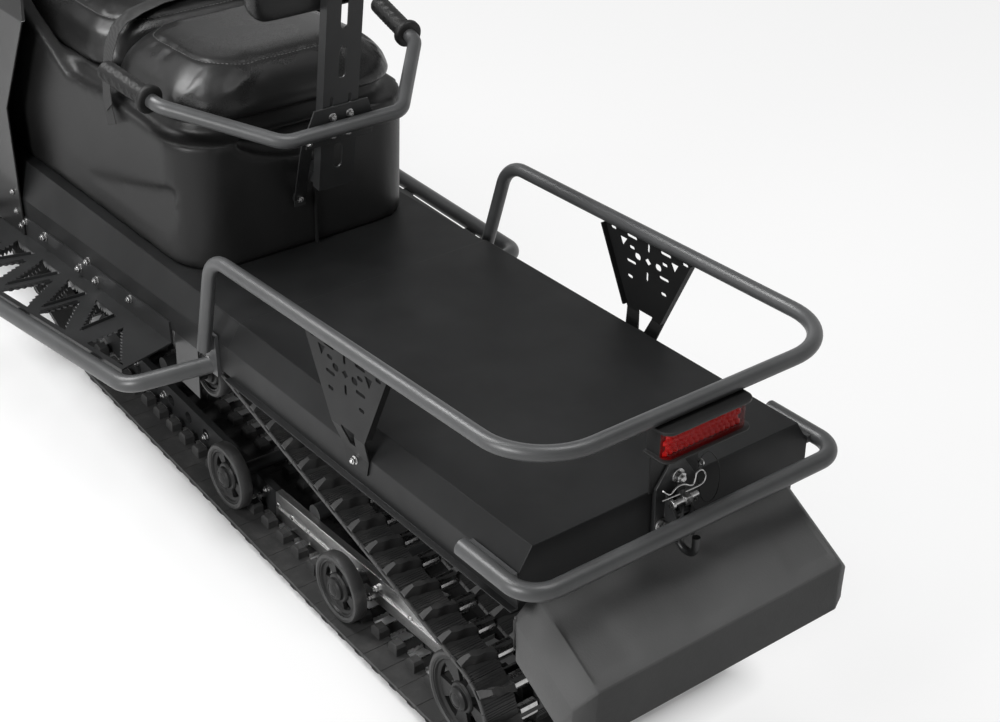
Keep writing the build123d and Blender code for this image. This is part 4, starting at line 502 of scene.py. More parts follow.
def fasteners_at_points():
    """A fastener on each point, its axis along the point's aim and scaled by its size."""
    net = Grower("fasteners_at_points", Fastener="Object")
    aim = net.add("GeometryNodeInputNamedAttribute", {"data_type": "FLOAT_VECTOR"}, {"Name": "aim"})
    size = net.add("GeometryNodeInputNamedAttribute", {"data_type": "FLOAT"}, {"Name": "size"})
    turn = net.add("FunctionNodeAlignRotationToVector", {"axis": "Z"}, {"Vector": aim})
    return net.end(net.add("GeometryNodeInstanceOnPoints", {}, {
        "Points": net.given, "Instance": net.part("Fastener"), "Rotation": turn, "Scale": size}))


def stitches_along_seam():
    """A stitch at every step along a line, pointing along it."""
    net = Grower("stitches_along_seam", Stitch="Object", Step="Float")
    seam = net.add("GeometryNodeMeshToCurve", {}, {0: net.given})
    holes = net.add("GeometryNodeResampleCurve", {"mode": "LENGTH"}, {"Curve": seam, "Length": net.given.out("Step")})
    turn = net.add("FunctionNodeAlignRotationToVector", {"axis": "X"}, {"Vector": net.add("GeometryNodeInputTangent")})
    return net.end(net.add("GeometryNodeInstanceOnPoints", {}, {
        "Points": holes, "Instance": net.part("Stitch"), "Rotation": turn}))


LINKS, FASTENERS, STITCHES = links_on_loop(), fasteners_at_points(), stitches_along_seam()


def line_mesh(name, points, space, closed):
    mesh = bpy.data.meshes.new(name)
    count = len(points)
    edges = [(at, (at + 1) % count) for at in range(count if closed else count - 1)]
    mesh.from_pydata([space @ Vector(point) for point in points], edges, [])
    return mesh


# ---- track

BELT, PITCH, TRACK_HALF = 8, 50.5, 250
# What the belt's inner face wraps, counter-clockwise: x, z and radius in GROUND millimetres
LOOP = [(164, 123, 81), (512, 94, 64), (880, 94, 64), (1395, 200, 170), (1868, 285, 62), (925, 302, 50)]
ARC_STEP = radians(5)
# Bands of the belt on one side: low and high y. Between them lie the windows
BANDS = [(190, 250), (76, 150), (-38, 38)]
WINDOWS = [(150, 190), (38, 76)]
RUNG, FINE_RIBS = 11, (-21, -17, -13, 13, 17, 21)
# Drive lugs on the inner face: low and high y, and half length by height
DRIVE_LUGS, DRIVE_TAPER = [(188, 209), (80, 102)], [(13, 1), (12, -14), (8, -19)]
# A lug across one band. Columns: share of the band, half width at its foot and at its top, height, shift along the belt
LUG = [
    (0.00, 8.0, 5.5, 5, -5.0), (0.10, 7.5, 5.0, 13, -4.0), (0.24, 5.0, 3.0, 21.5, -2.0), (0.36, 7.0, 5.2, 22, -0.5),
    (0.48, 7.0, 5.2, 22, 0.5), (0.60, 5.0, 3.0, 21.5, 2.0), (0.78, 5.5, 3.6, 20, 4.0), (0.92, 7.5, 5.0, 20, 5.0),
    (1.00, 8.0, 5.5, 13, 5.0),
]


def belt_loop():
    """Points round the loop where the belt's inner face runs."""
    points = []
    for index, (x, z, radius) in enumerate(LOOP):
        turns = []
        for (ax, az, ar), (bx, bz, br) in ((LOOP[index - 1], (x, z, radius)),
                                           ((x, z, radius), LOOP[(index + 1) % len(LOOP)])):
            heading = atan2(bz - az, bx - ax)
            turns.append(heading - acos((ar - br) / hypot(bx - ax, bz - az)))
        sweep = (turns[1] - turns[0]) % (2 * pi)
        count = max(2, ceil(sweep / ARC_STEP))
        for step in range(count + 1):
            turn = turns[0] + sweep * step / count
            points.append((x + radius * cos(turn), 0, z + radius * sin(turn)))
    return points


def belt_link():
    """One pitch of the track: bands, rungs between the windows, lugs, fine ribs and drive lugs."""
    link = Shape()
    half = PITCH / 2 - 0.3
    stations = [half * share for share in (-1, -0.66, -0.33, 0, 0.33, 0.66, 1)]

    def plate(stations, y, z):
        link.skin([[(x, y[0], z[0]), (x, y[1], z[0]), (x, y[1], z[1]), (x, y[0], z[1])] for x in stations])

    for side in SIDES:
        for low, high in BANDS[:3 if side > 0 else 2]:
            y = sorted((side * low, side * high))
            plate(stations, y, (0, BELT))
            rings = []
            for share, foot, top, height, shift in LUG:
                across = side * (high - share * (high - low))
                rings.append([(shift - foot, across, BELT - 2), (shift + foot, across, BELT - 2),
                              (shift + top, across, BELT + height), (shift - top, across, BELT + height)])
            link.skin(rings)
            for rib in FINE_RIBS:
                plate((rib - 0.8, rib + 0.8), y, (BELT - 1, BELT + 1.0))
        for low, high in WINDOWS:
            y = sorted((side * low, side * high))
            plate((-RUNG, 0, RUNG), y, (0.5, BELT + 0.5))
            plate((-3.5, 3.5), y, (BELT - 1, BELT + 5))
        edge = sorted((side * (TRACK_HALF - 3), side * TRACK_HALF))
        plate(stations, edge, (BELT - 1, BELT + 1.6))
        for low, high in DRIVE_LUGS:
            rings = []
            for grow, height in DRIVE_TAPER:
                inset = (DRIVE_TAPER[0][0] - grow) / 2
                y = sorted((side * (low + inset), side * (high - inset)))
                rings.append([(-grow, y[0], height), (grow, y[0], height), (grow, y[1], height), (-grow, y[1], height)])
            link.skin(rings)
    return link.mesh("link", Matrix(), 30)


def belt_clip():
    """The steel clips of one pitch, each bent round its rung between two windows."""
    clips = Shape()
    bend = [(-12.4, -1), (-12.4, 7), (-9.5, 11), (-4, 12.6), (4, 12.6), (9.5, 11), (12.4, 7), (12.4, -1)]
    inner = [(x * 0.88, z * 0.88) for x, z in reversed(bend)]
    for side in SIDES:
        for low, high in WINDOWS:
            y = sorted((side * (low + 4), side * (high - 4)))
            clips.skin([[(x, place, z) for x, z in bend + inner] for place in y])
    return clips.mesh("clip", Matrix(), 40)


def track():
    loop = belt_loop()
    length = sum((Vector(b) - Vector(a)).length for a, b in zip(loop, loop[1:] + loop[:1]))
    count = round(length / PITCH)
    for name, part, finish, stands_for in (("track_belt", belt_link(), "track_rubber", ["track"]),
                                           ("track_clips", belt_clip(), "bright_steel", [])):
        mesh = LINKS.grow(name, line_mesh("loop", loop, Matrix(), True), finish, 32, Link=part, Count=count,
                          Pitch=length / count)
        mesh.transform(GROUND)
        piece(name, mesh, finish, stands_for=stands_for)


track()


# ---- wheels


WHEEL_Y, SPOKES, SPOKE_WIDTH = 225, 5, radians(36)


def wheel(shape, x, z, radius, side):
    """A skid wheel: rubber tyre, rim, broad spokes with windows between, and a hub with a domed cap."""
    place = Matrix.Translation((x, side * WHEEL_Y, z)) @ ABOUT_Y
    if side < 0:
        place = place @ Matrix.Rotation(pi, 4, "X")
    tyre = [(radius - 11, -10), (radius - 3, -12), (radius, -8), (radius, 8), (radius - 3, 12), (radius - 8, 12.5),
            (radius - 11, 10)]
    shape["tyre"].turned(tyre + tyre[:1], place, 48, caps=False)
    rim = [(radius - 22, -5), (radius - 11, -9), (radius - 10.5, 9), (radius - 15, 10), (radius - 17, 6),
           (radius - 22, 3)]
    shape["disc"].turned(rim + rim[:1], place, 48, caps=False)
    hub = [(13, -17), (26, -17), (27, -8), (27, 5), (25, 8), (21, 9), (20, 14), (17, 17), (13, 18.6), (12, 17.2),
           (11, 18.2), (7, 20.2), (1, 21)]
    shape["disc"].turned(hub, place, 40)
    for spoke in range(SPOKES):
        middle = 2 * pi * spoke / SPOKES + radians(20)
        turns = [middle + SPOKE_WIDTH * share for share in (-0.5, -0.25, 0, 0.25, 0.5)]
        outer = [((radius - 19) * cos(turn), (radius - 19) * sin(turn)) for turn in turns]
        inner = [(25 * cos(turn), 25 * sin(turn)) for turn in reversed(turns)]
        shape["disc"].slab(outer + inner, -3.5, 3.5, place)


def wheels():
    groups = {"road_wheels": [LOOP[1], LOOP[2]], "rear_idlers": [LOOP[0]], "carrier_wheels": [LOOP[5]]}
    for name, places in groups.items():
        shape = {"tyre": Shape(), "disc": Shape()}
        for x, z, radius in places:
            for side in SIDES:
                wheel(shape, x, z, radius, side)
        piece(name + "_tyres", shape["tyre"].mesh(name, GROUND, 40), "track_rubber", stands_for=[name])
        piece(name + "_discs", shape["disc"].mesh(name, GROUND, 30), "moulded_black", bevel=0.5)


wheels()


# ---- bolts


def hexagon(radius):
    return [(radius * cos(pi * side / 3), radius * sin(pi * side / 3)) for side in range(6)]


def hex_bolt():
    """A hexagon nut on a washer, with the bolt's end standing out of it."""
    bolt = Shape()
    bolt.turned([(8.5, 0), (8.5, 1.2), (7.8, 1.6)], steps=20)
    corners = [(5.6, 1.4), (6.6, 2.2), (6.6, 6.4), (5.6, 7.2)]
    bolt.skin([[(a, b, height) for a, b in hexagon(radius)] for radius, height in corners])
    bolt.turned([(3.8, 6), (3.8, 9.4), (3.0, 10.2)], steps=14)
    return bolt.mesh("bolt", Matrix.Scale(MM, 4), 30)


def round_screw():
    """A low round head with a socket in it."""
    screw = Shape().turned([(6.2, 0), (6.2, 1.6), (5.2, 3.2), (3.4, 3.9), (2.8, 3.9), (2.6, 1.4)], steps=18)
    return screw.mesh("screw", Matrix.Scale(MM, 4), 30)


LEFT, BACK, UP = (0, 1, 0), (-1, 0, 0), (0, 0, 1)
# Hexagon bolts and round screws: frame, the way they face, whether they are there on the other side as well, and
# for each its x, y, z in millimetres and its size against an M8
BOLTS = [
    (DECK, LEFT, True, [(1614, 280.5, -64, 1), (1608, 280.5, -104, 1), (1579, 280.5, -118, 0.85),
                        (1596, 280.5, -132, 0.95), (1492, 280.5, -117, 1.15), (1340, 280.5, -123, 1.05),
                        (1304, 277.5, -95, 1), (1270, 280.5, -120, 1), (1132, 280.5, -100, 0.9), (392, 283, -57, 0.85),
                        (843, 283.5, -92, 0.85)]),
    (DECK, BACK, False, [(942, 27, 98, 0.8), (-7.5, -3, 13, 1.35)]),
    (DECK, BACK, True, [(-7.5, 25, -61, 1.3)]),
    (POST, BACK, True, [(12.5, 17, 16, 0.85), (12.5, 15, -19, 0.8)]),
    (POST, BACK, False, [(12.5, 62, -22, 0.8)]),
    (GROUND, LEFT, True, [(1215, 178, 58, 1), (1051, 178, 57, 1), (905, 178, 80, 0.9), (828, 178, 76, 0.9),
                          (853, 178, 44, 0.9), (545, 178, 79, 0.9), (474, 178, 94, 0.9), (494, 178, 60, 0.9),
                          (1330, 178, 70, 1)]),
]
SCREWS = [(GROUND, LEFT, True, [(x, 174.6, z, 0.9) for x, z in
                                ((796, 61), (746, 62), (695, 65), (620, 71), (380, 95), (300, 103))])]


def fastened(name, groups, fastener, finish, body=ROOT):
    """All fasteners of one kind, each on its surface, and mirrored where the group says so."""
    places, aims, sizes = [], [], []
    for space, aim, mirrored, rows in groups:
        for x, y, z, size in rows:
            for side in SIDES[:2 if mirrored else 1]:
                places.append(space @ Vector((x, side * y, z)))
                aims.append((space.to_3x3() @ Vector((aim[0], side * aim[1], aim[2]))).normalized())
                sizes.append(size)
    points = bpy.data.meshes.new(name)
    points.from_pydata(places, [], [])
    points.attributes.new("aim", "FLOAT_VECTOR", "POINT").data.foreach_set("vector", [v for aim in aims for v in aim])
    points.attributes.new("size", "FLOAT", "POINT").data.foreach_set("value", sizes)
    piece(name, FASTENERS.grow(name, points, finish, 30, Fastener=fastener), finish, body)


fastened("bolts", BOLTS, hex_bolt(), "bright_steel")
fastened("rail_screws", SCREWS, round_screw(), "bright_steel")


# ---- cushions

STITCH_STEP = 7.5
CUSHION_VOXEL, CUSHION_ROUNDS, CLOTH_FRAMES = 6, 9, 20


def stitch_mesh():
    """A short thread, thicker at its middle."""
    thread = Shape().turned([(0.25, -2.5), (0.65, -1.6), (0.75, 0), (0.65, 1.6), (0.25, 2.5)],
                            Matrix.Rotation(pi / 2, 4, "Y"), 6)
    return thread.mesh("stitch", Matrix.Scale(MM, 4), 60)


STITCH = stitch_mesh()


def rounded_ring(x, half, corner, z):
    """A rectangle with round corners, level at z, as a closed ring of points."""
    ring = []
    for cx, cy, start in ((x[1], half, 0), (x[0], half, pi / 2), (x[0], -half, pi), (x[1], -half, 3 * pi / 2)):
        for step in range(9):
            turn = start + pi / 2 * step / 8
            inward_x = -corner if cx == x[1] else corner
            inward_y = -corner if cy > 0 else corner
            ring.append((cx + inward_x + corner * cos(turn), cy + inward_y + corner * sin(turn), z))
    return ring


def inflated(name, mesh, held, cap, pressure=4.0):
    """The form remeshed and blown up as cloth, no point moving further than cap. Where held says so it stays."""
    mesh = worked(name, mesh, "REMESH", mode="VOXEL", voxel_size=CUSHION_VOXEL * MM)
    start = [vertex.co.copy() for vertex in mesh.vertices]
    made = linked(name, mesh)
    group = made.vertex_groups.new(name="held")
    group.add([at for at, place in enumerate(start) if held(place)], 1.0, "REPLACE")
    cloth = made.modifiers.new("cloth", "CLOTH")
    cloth.settings.use_pressure, cloth.settings.uniform_pressure_force = True, pressure
    cloth.settings.vertex_group_mass = "held"
    cloth.settings.effector_weights.gravity = 0
    cloth.settings.quality = 4
    for step in range(1, CLOTH_FRAMES + 1):
        bpy.context.scene.frame_set(step)
    mesh = evaluated(made)
    bpy.context.scene.frame_set(1)
    for vertex, place in zip(mesh.vertices, start):
        move = vertex.co - place
        if move.length > cap * MM:
            vertex.co = place + move.normalized() * cap * MM
    return worked(name, mesh, "SMOOTH", factor=0.5, iterations=CUSHION_ROUNDS)


def on_surface(mesh, points, space, lift):
    """Points laid on the nearest face, lifted off it by lift millimetres."""
    tree = BVHTree.FromPolygons([vertex.co for vertex in mesh.vertices], [face.vertices[:] for face in mesh.polygons])
    laid = []
    for point in points:
        place, normal, _, _ = tree.find_nearest(space @ Vector(point))
        laid.append(place + normal * lift * MM)
    return laid


def dense(points, step, closed):
    """The line divided into steps no longer than step."""
    result = []
    for a, b in zip(points, points[1:] + (points[:1] if closed else [])):
        a, b = Vector(a), Vector(b)
        count = max(1, ceil((b - a).length / step))
        result += [a.lerp(b, at / count) for at in range(count)]
    return result if closed else result + [Vector(points[-1])]


def sew(name, mesh, seams, space, width=6.0, depth=2.2):
    """Presses a channel into the cushion along each seam, and lays stitches beside it."""
    lines = []
    for points, closed, offset in seams:
        lines.append((on_surface(mesh, dense(points, 5, closed), space, 0), closed, offset))
    tree = KDTree(sum(len(line) for line, _, _ in lines))
    for at, place in enumerate(place for line, _, _ in lines for place in line):
        tree.insert(place, at)
    tree.balance()
    mesh.update()
    moves = []
    for vertex in mesh.vertices:
        _, _, away = tree.find(vertex.co)
        share = away / (width * MM)
        moves.append(vertex.normal * depth * MM * exp(-share * share * 2.2))
    for vertex, move in zip(mesh.vertices, moves):
        vertex.co -= move
    mesh.update()
    for at, (line, closed, offset) in enumerate(lines):
        beside = [space.inverted() @ place for place in line]
        beside = on_surface(mesh, [place + Vector(offset) for place in beside], space, 0.35)
        seam = line_mesh(name + "_seam", beside, Matrix(), closed)
        made = STITCHES.grow(name + "_stitches", seam, "thread", 80, Stitch=STITCH.copy(), Step=STITCH_STEP * MM)
        piece("%s_stitches_%d" % (name, at + 1), made, "thread")


def cushion(name, rings, seams, space, held, cap, stands_for):
    """A padded piece in place of a CAD node: blown up, seamed and stitched."""
    mesh = inflated(name, Shape().skin(rings).mesh(name, space, 180), held, cap)
    sew(name, mesh, seams, space)
    mesh.shade_smooth()
    made = piece(name, mesh, "seat_vinyl", stands_for=[stands_for], levels=1)
    return made


def below(limit):
    """Whether a place lies below a height over the deck."""
    back = DECK.inverted()
    return lambda place: (back @ place).z < limit


# The two seat cushions, from the foot up: rear and front x, half width, corner radius and height
PASSENGER = [(960, 1284, 214, 84, 262.5), (955, 1286, 219, 88, 272), (956, 1286, 218, 90, 292),
             (964, 1284, 206, 92, 314), (980, 1279, 182, 92, 333), (1002, 1270, 146, 80, 345),
             (1040, 1240, 100, 56, 348)]
RIDER = [(1297, 1790, 200, 70, 262.5), (1294, 1792, 204, 74, 276), (1295, 1792, 203, 76, 296),
         (1302, 1788, 190, 80, 322), (1318, 1780, 160, 84, 341), (1350, 1750, 112, 70, 348)]
HELD_BELOW, SEAT_CAP = 275, 5


def seat_cushions():
    """Both cushions, each with a seam round its top, and the rider's with one across as well."""
    across = [(1460, side, 346) for side in (-150, -75, 0, 75, 150)]
    for name, node, form, more, fill in (("passenger_cushion", "cushion_passenger", PASSENGER, [], 0.8),
                                         ("rider_cushion", "cushion_rider", RIDER, [(across, False, (3, 0, 0))], 0.7)):
        rings = [rounded_ring((rear, ahead), half, corner, z) for rear, ahead, half, corner, z in form]
        cushion(name, rings, [(rings[-2], True, (0, 0, -2.5))] + more, DECK, below(HELD_BELOW), SEAT_CAP, node)


PAD_LOW, PAD_HIGH, PAD_HALF, PAD_NEAR = 196, 424, 165, 35.8


def back_pad():
    """The backrest's pad: its flat back lies against the post."""
    height = (PAD_LOW + 4, PAD_HIGH - 4)

    def ring(inset, corner, depth):
        level = rounded_ring((height[0] + inset, height[1] - inset), PAD_HALF - 5 - inset, corner, 0)
        return [(PAD_NEAR + depth, y, z) for z, y, _ in level]

    rings = [ring(4, 26, 0.5), ring(0, 30, 8), ring(0, 30, 30), ring(6, 30, 46), ring(26, 26, 55)]
    cushion("back_pad", rings, [(ring(6, 30, 46), True, (-2.5, 0, 0))], POST,
            lambda place: (POST.inverted() @ place).x < PAD_NEAR + 6, 7, "backrest_pad")


seat_cushions()
back_pad()


# ---- seat base, strap and grips


def softened(name, node, finish, voxel, rounds):
    """A moulded skin over a CAD node: its own form with the edges rounded off."""
    mesh = worked(name, cleaned(NODES[node].data.copy()), "REMESH", mode="VOXEL", voxel_size=voxel * MM)
    mesh = worked(name, mesh, "SMOOTH", factor=0.5, iterations=rounds)
    mesh.shade_smooth()
    return piece(name, mesh, finish, stands_for=[node])


BASE_REAR, SEAM_Y, SEAM_TOP = 944, -8, 138


def base_seam():
    """The dark joint down the base's rear face, and the step at its top under the post."""
    seam = Shape()
    seam.block((BASE_REAR + 1.0, BASE_REAR + 9), (SEAM_Y - 1.4, SEAM_Y + 1.4), (1, SEAM_TOP))
    seam.block((BASE_REAR + 1.0, BASE_REAR + 9), (-36, SEAM_Y), (SEAM_TOP - 2.8, SEAM_TOP))
    piece("base_seam", seam.mesh("base_seam", DECK), "dark_plate")


def spacers():
    """Rubber spacers between the seat base and the feet of the backrest's post and brace."""
    shape = Shape()
    along_x = Matrix.Rotation(pi / 2, 4, "Y")
    for y, z, radius in ((-14, 153, 9), (14, 153, 9), (27, 98, 10)):
        shape.turned([(radius, -0.2), (radius, 6.2)], Matrix.Translation((BASE_REAR, y, z)) @ along_x, 20)
    piece("base_spacers", shape.mesh("base_spacers", DECK), "soft_rubber")


def ribbon(name, line, normals, width, thick, finish):
    """A flat strap along a line, lying against the given normals."""
    rings = []
    for at, (place, normal) in enumerate(zip(line, normals)):
        run = line[min(at + 1, len(line) - 1)] - line[max(at - 1, 0)]
        side = run.cross(normal).normalized() * width / 2
        up = normal.normalized() * thick
        rings.append([place - side, place + side, place + side + up, place - side + up])
    piece(name, Shape().skin(rings).mesh(name, DECK, 60), finish, bevel=0.4)


STRAP_WIDTH, STRAP_THICK, STRAP_LAYER = 34, 1.8, 2.2


def strap():
    """The webbing strap over the seat, with a tail that hangs down each side, and a second layer on it."""
    route = [(1362, 0, 351), (1352, 60, 352), (1328, 118, 351), (1300, 164, 346), (1276, 192, 334), (1253, 214, 310),
             (1232, 231, 285), (1212, 244, 262), (1196, 250.5, 243), (1184, 252, 214)]
    for side in SIDES:
        for layer, cut in ((0, len(route)), (1, len(route) - 1)):
            rise = STRAP_LAYER * layer
            line = [Vector((x - 10 * layer, side * (y + rise), z + rise)) for x, y, z in route[:cut]]
            line = [a.lerp(b, share) for a, b in zip(line, line[1:]) for share in (0, 0.34, 0.67)] + line[-1:]
            normals = []
            for place in line:
                slope = min(1, max(0, (abs(place.y) - 120) / 120))
                normals.append(Vector((0, side * slope, 1 - 0.96 * slope)))
            ribbon("strap_%s_%d" % ("left" if side > 0 else "right", layer + 1), line, normals,
                   STRAP_WIDTH - 4 * layer, STRAP_THICK, "webbing")


GRIP_END, GRIP_BEND, GRIP_LENGTH = Vector((1127, 277, 337)), Vector((985, 256, 313)), 131
GRIP_RADIUS, GRIP_STEPS, GRIP_ROWS, DIMPLE_PITCH = 17.2, 56, 48, 21


def dimple(turn, height):
    """How far the grip's skin stands off its round: oval hollows with a raised rim, in staggered rows."""
    if not 12 < height < GRIP_LENGTH - 20:
        return 0
    row = round(turn / (pi / 3))
    across = (turn - row * pi / 3) * GRIP_RADIUS
    shift = DIMPLE_PITCH / 2 if row % 2 else 0
    along = (height + shift) % DIMPLE_PITCH - DIMPLE_PITCH / 2
    far = hypot(along / 8.2, across / 6.0)
    return -1.1 if far < 0.72 else 0.7 * max(0, 1 - abs(far - 0.95) / 0.2)


def grab_grips():
    """A rubber sleeve on each arm of the handle, with rows of oval dimples and a flange at its inner end."""
    back = (GRIP_BEND - GRIP_END).normalized()
    start, long = GRIP_END - back * 9, GRIP_LENGTH
    profile = [(0.5, 0), (9, 0.3), (13, 1.5), (16, 4.5)]
    profile += [(GRIP_RADIUS, 7 + at * (long - 24) / (GRIP_ROWS - 1)) for at in range(GRIP_ROWS)]
    profile += [(18.5, long - 15), (24, long - 12), (25.5, long - 10), (25.5, long - 4), (24, long - 1), (20, long),
                (12.6, long)]
    shape = Shape()
    for side in SIDES:
        turned = Vector((back.x, side * back.y, back.z)).to_track_quat("Z", "Y").to_matrix().to_4x4()
        place = Matrix.Translation((start.x, side * start.y, start.z)) @ turned
        rings = []
        for radius, height in profile:
            ring = []
            for step in range(GRIP_STEPS):
                turn = 2 * pi * step / GRIP_STEPS
                off = radius + (dimple(turn, height) if radius == GRIP_RADIUS else 0)
                ring.append(place @ Vector((off * cos(turn), off * sin(turn), height)))
            rings.append(ring)
        shape.skin(rings)
    piece("handle_grips", shape.mesh("handle_grips", DECK, 50), "soft_rubber", stands_for=["grab_grips"])


softened("base_moulding", "seat_base", "base_skin", 7, 5)
base_seam()
spacers()
strap()
grab_grips()


# ---- tail: lamp, hitch and flap

LENS_BACK, LENS_LOW, LENS_HIGH, LENS_HALF, CELL_RADIUS = -51.5, 99, 140, 74, 5.6


def lamp_cells():
    """The honeycomb of reflector cells behind the red lens."""
    cell = Shape().skin([[(a, b, height) for a, b in hexagon(CELL_RADIUS * share)]
                         for share, height in ((1, 0), (0.9, 1.2), (0.08, 4.6))])
    rows, pitch = [], 1.5 * CELL_RADIUS
    for row in range(round((LENS_HIGH - LENS_LOW) / pitch) + 1):
        z = LENS_LOW + 2 + row * pitch
        for column in range(-8, 9):
            y = (column + (row % 2) / 2) * CELL_RADIUS * 3 ** 0.5
            if abs(y) < LENS_HALF - CELL_RADIUS and z < LENS_HIGH + 2:
                rows.append((LENS_BACK, y, z, 1))
    fastened("lamp_cells", [(DECK, BACK, False, rows)], cell.mesh("cell", Matrix.Scale(MM, 4), 10), "reflector")


def hitch_parts():
    """The hitch's pin with its head, the latch block, the spring clip and the wire lanyard."""
    pin = Shape()
    pin.turned([(4.6, -25), (5, -24), (5, 21), (7.6, 21), (7.6, 25), (6.4, 26)],
               Matrix.Translation((-27, 0, -16)) @ ABOUT_Y, 20)
    pin.block((-34, -24), (-9, 3), (-24, -10))
    pin.turned([(2.6, 0), (2.6, 11), (1.6, 12)], Matrix.Translation((-29, -21, -26)), 14)
    piece("hitch_pin", pin.mesh("hitch_pin", DECK), "bright_steel", bevel=0.6)
    clip = [(-20, 36, 8), (-21, 29, 0), (-22, 22, -2), (-23, 14, 8), (-23, 0, 8), (-22, -16, -3), (-22, -22, -1),
            (-22, -24, 8), (-22, -25, 17), (-22, -35, 18), (-22, -44, 8), (-22, -44, -4), (-22, -36, -9),
            (-22, -20, -9), (-22, 5, -8), (-21, 38, -7)]
    piece("spring_clip", wire("spring_clip", clip, 1.3, DECK), "bright_steel")
    ring = [(-14, -36, 26), (-20, -38, 41), (-24, -45, 47), (-26, -57, 34), (-27, -66, 14), (-27, -69, -10),
            (-26, -66, -34), (-24, -57, -47), (-22, -44, -42), (-18, -40, -30), (-12, -38, 0)]
    piece("lanyard", wire("lanyard", ring, 0.8, DECK, closed=True), "black_wire")
    eye = Shape().turned([(4, -1), (6, -1), (6, 1), (4, 1), (4, -1)],
                         Matrix.Translation((-18, -37, 27)) @ ABOUT_Y, 20, caps=False)
    piece("lanyard_eye", eye.mesh("lanyard_eye", DECK), "bright_steel")


FLAP_TOP, FLAP_LIP, FLAP_HALF, FLAP_BEVEL = (14, -96), (-126, -179), 270, 31
FLAP_DEPTH, FLAP_SIDE, FLAP_WALL, FLAP_ROWS = 87, 60, 4.5, 40
FLAP_BULGE, FLAP_STEP = 9, 3.2


def flap_offset(x, y):
    """How far the flap's skin stands off its plane: the bulges below the hitch and a shallow step each side."""
    bulge = FLAP_BULGE * exp(-((abs(y) - 92) / 42) ** 2 - ((x + 34) / 26) ** 2)
    fade = FLAP_STEP * max(0.0, min(1.0, (-x - 22) / 30)) * max(0.0, min(1.0, (x + 122) / 16))
    step = fade / (1 + exp((abs(y) - 165 - 0.1 * x) / 4.5))
    return bulge + step * (1 if abs(y) > 60 else max(0.0, (abs(y) - 20) / 40)) - fade


def flap():
    """The moulded snow flap: a sloping skin with bevelled sides, and a lip that hangs from its low edge."""
    slope = Vector((FLAP_LIP[0] - FLAP_TOP[0], 0, FLAP_LIP[1] - FLAP_TOP[1]))
    out = Vector((slope.z, 0, -slope.x)).normalized()
    edge = [(FLAP_HALF, -FLAP_BEVEL - FLAP_SIDE), (FLAP_HALF, -FLAP_BEVEL - 3), (FLAP_HALF - 1.2, -FLAP_BEVEL),
            (FLAP_HALF - FLAP_BEVEL + 1.5, -1.2), (FLAP_HALF - FLAP_BEVEL - 1.5, 0)]
    section = [(-y, drop) for y, drop in edge] + [(y, 0) for y in range(-232, 233, 8)] + edge[::-1]
    rings = []
    for row in range(FLAP_ROWS + 1):
        base = Vector((FLAP_TOP[0], 0, FLAP_TOP[1])) + slope * row / FLAP_ROWS
        ring = []
        for y, drop in section:
            point = base + out * (drop + (flap_offset(base.x, y) if abs(y) < 236 else 0))
            ring.append(Vector((min(point.x, FLAP_TOP[0]), y, point.z)))
        rings.append(ring)
    low = FLAP_LIP[1] - FLAP_DEPTH
    for share, rear in ((0.03, 1.5), (0.5, 0), (1.0, 0)):
        rings.append([Vector((point.x - rear, point.y, max(low, point.z - FLAP_DEPTH * share)))
                      for point in rings[FLAP_ROWS]])
    sheet = Shape().skin(rings, closed=False, caps=False).mesh("flap_skin", DECK, 28)
    solid = worked("flap_solid", sheet, "SOLIDIFY", thickness=FLAP_WALL * MM, offset=-1)
    piece("flap_skin", cleaned(solid, 28), "flap_hide", stands_for=["snow_flap"])


lamp_cells()
hitch_parts()
flap()


# ---- running boards

BOARD_LENGTH, BOARD_OUTER, BOARD_INNER = 750, (394, 468), 306
BAY_START, BAYS, BAY_IN, BAY_OUT, BAY_SPAN_IN, BAY_SPAN_OUT, BAY_WEB = 180, 4, 116, 133, 82, 94, 13
TOOTH = 12
# Flanges: their upper and lower edge against the board's top
DEEP, SHALLOW, RAISED = (-1, -19), (-1, -15), (5.5, -3)


def board_outer(x):
    """Half width over a board's plate, by the distance from its rear end."""
    return BOARD_OUTER[0] + x / BOARD_LENGTH * (BOARD_OUTER[1] - BOARD_OUTER[0])


def saw_flange(shape, start, end, side, rise, fall):
    """A thin flange along one edge of an opening, its free edge cut in saw teeth."""
    start, end = Vector((start[0], side * start[1], 0)), Vector((end[0], side * end[1], 0))
    run = end - start
    count = max(3, round(run.length / TOOTH))
    wall = Vector((-run.y, run.x, 0)).normalized() * 1.0
    rings = []
    for tooth in range(2 * count + 1):
        place = start + run * (0.06 + 0.88 * tooth / (2 * count))
        free = fall if tooth % 2 else fall * 0.55
        rings.append([place - wall + Vector((0, 0, rise)), place + wall + Vector((0, 0, rise)),
                      place + wall + Vector((0, 0, free)), place - wall + Vector((0, 0, free))])
    shape.skin(rings)


def board_flanges():
    """Saw-edged flanges folded down round the openings, which grip a boot's sole and let snow through."""
    shape = Shape()
    for side in SIDES:
        for bay in range(BAYS):
            near = BAY_START + BAY_WEB + bay * BAY_IN
            tip, far = BAY_START + bay * BAY_OUT, near + BAY_SPAN_IN
            point = (tip, board_outer(tip) - 26)
            rear = tip + BAY_WEB * 1.5
            ahead = rear + BAY_SPAN_OUT
            apex = (far + BAY_WEB, BOARD_INNER + 26)
            outer = [(at, board_outer(at) - 10) for at in (rear, ahead)]
            for start, end, (rise, fall) in (((far, BOARD_INNER), point, DEEP), (apex, outer[0], DEEP),
                                             ((near, BOARD_INNER), (far, BOARD_INNER), SHALLOW),
                                             (outer[1], apex, RAISED), (point, (near, BOARD_INNER), RAISED)):
                saw_flange(shape, start, end, side, rise, fall)
    piece("board_flanges", shape.mesh("board_flanges", BOARD, 30), "frame_black")


board_flanges()


# ---- front: legs, skis, screen and engine

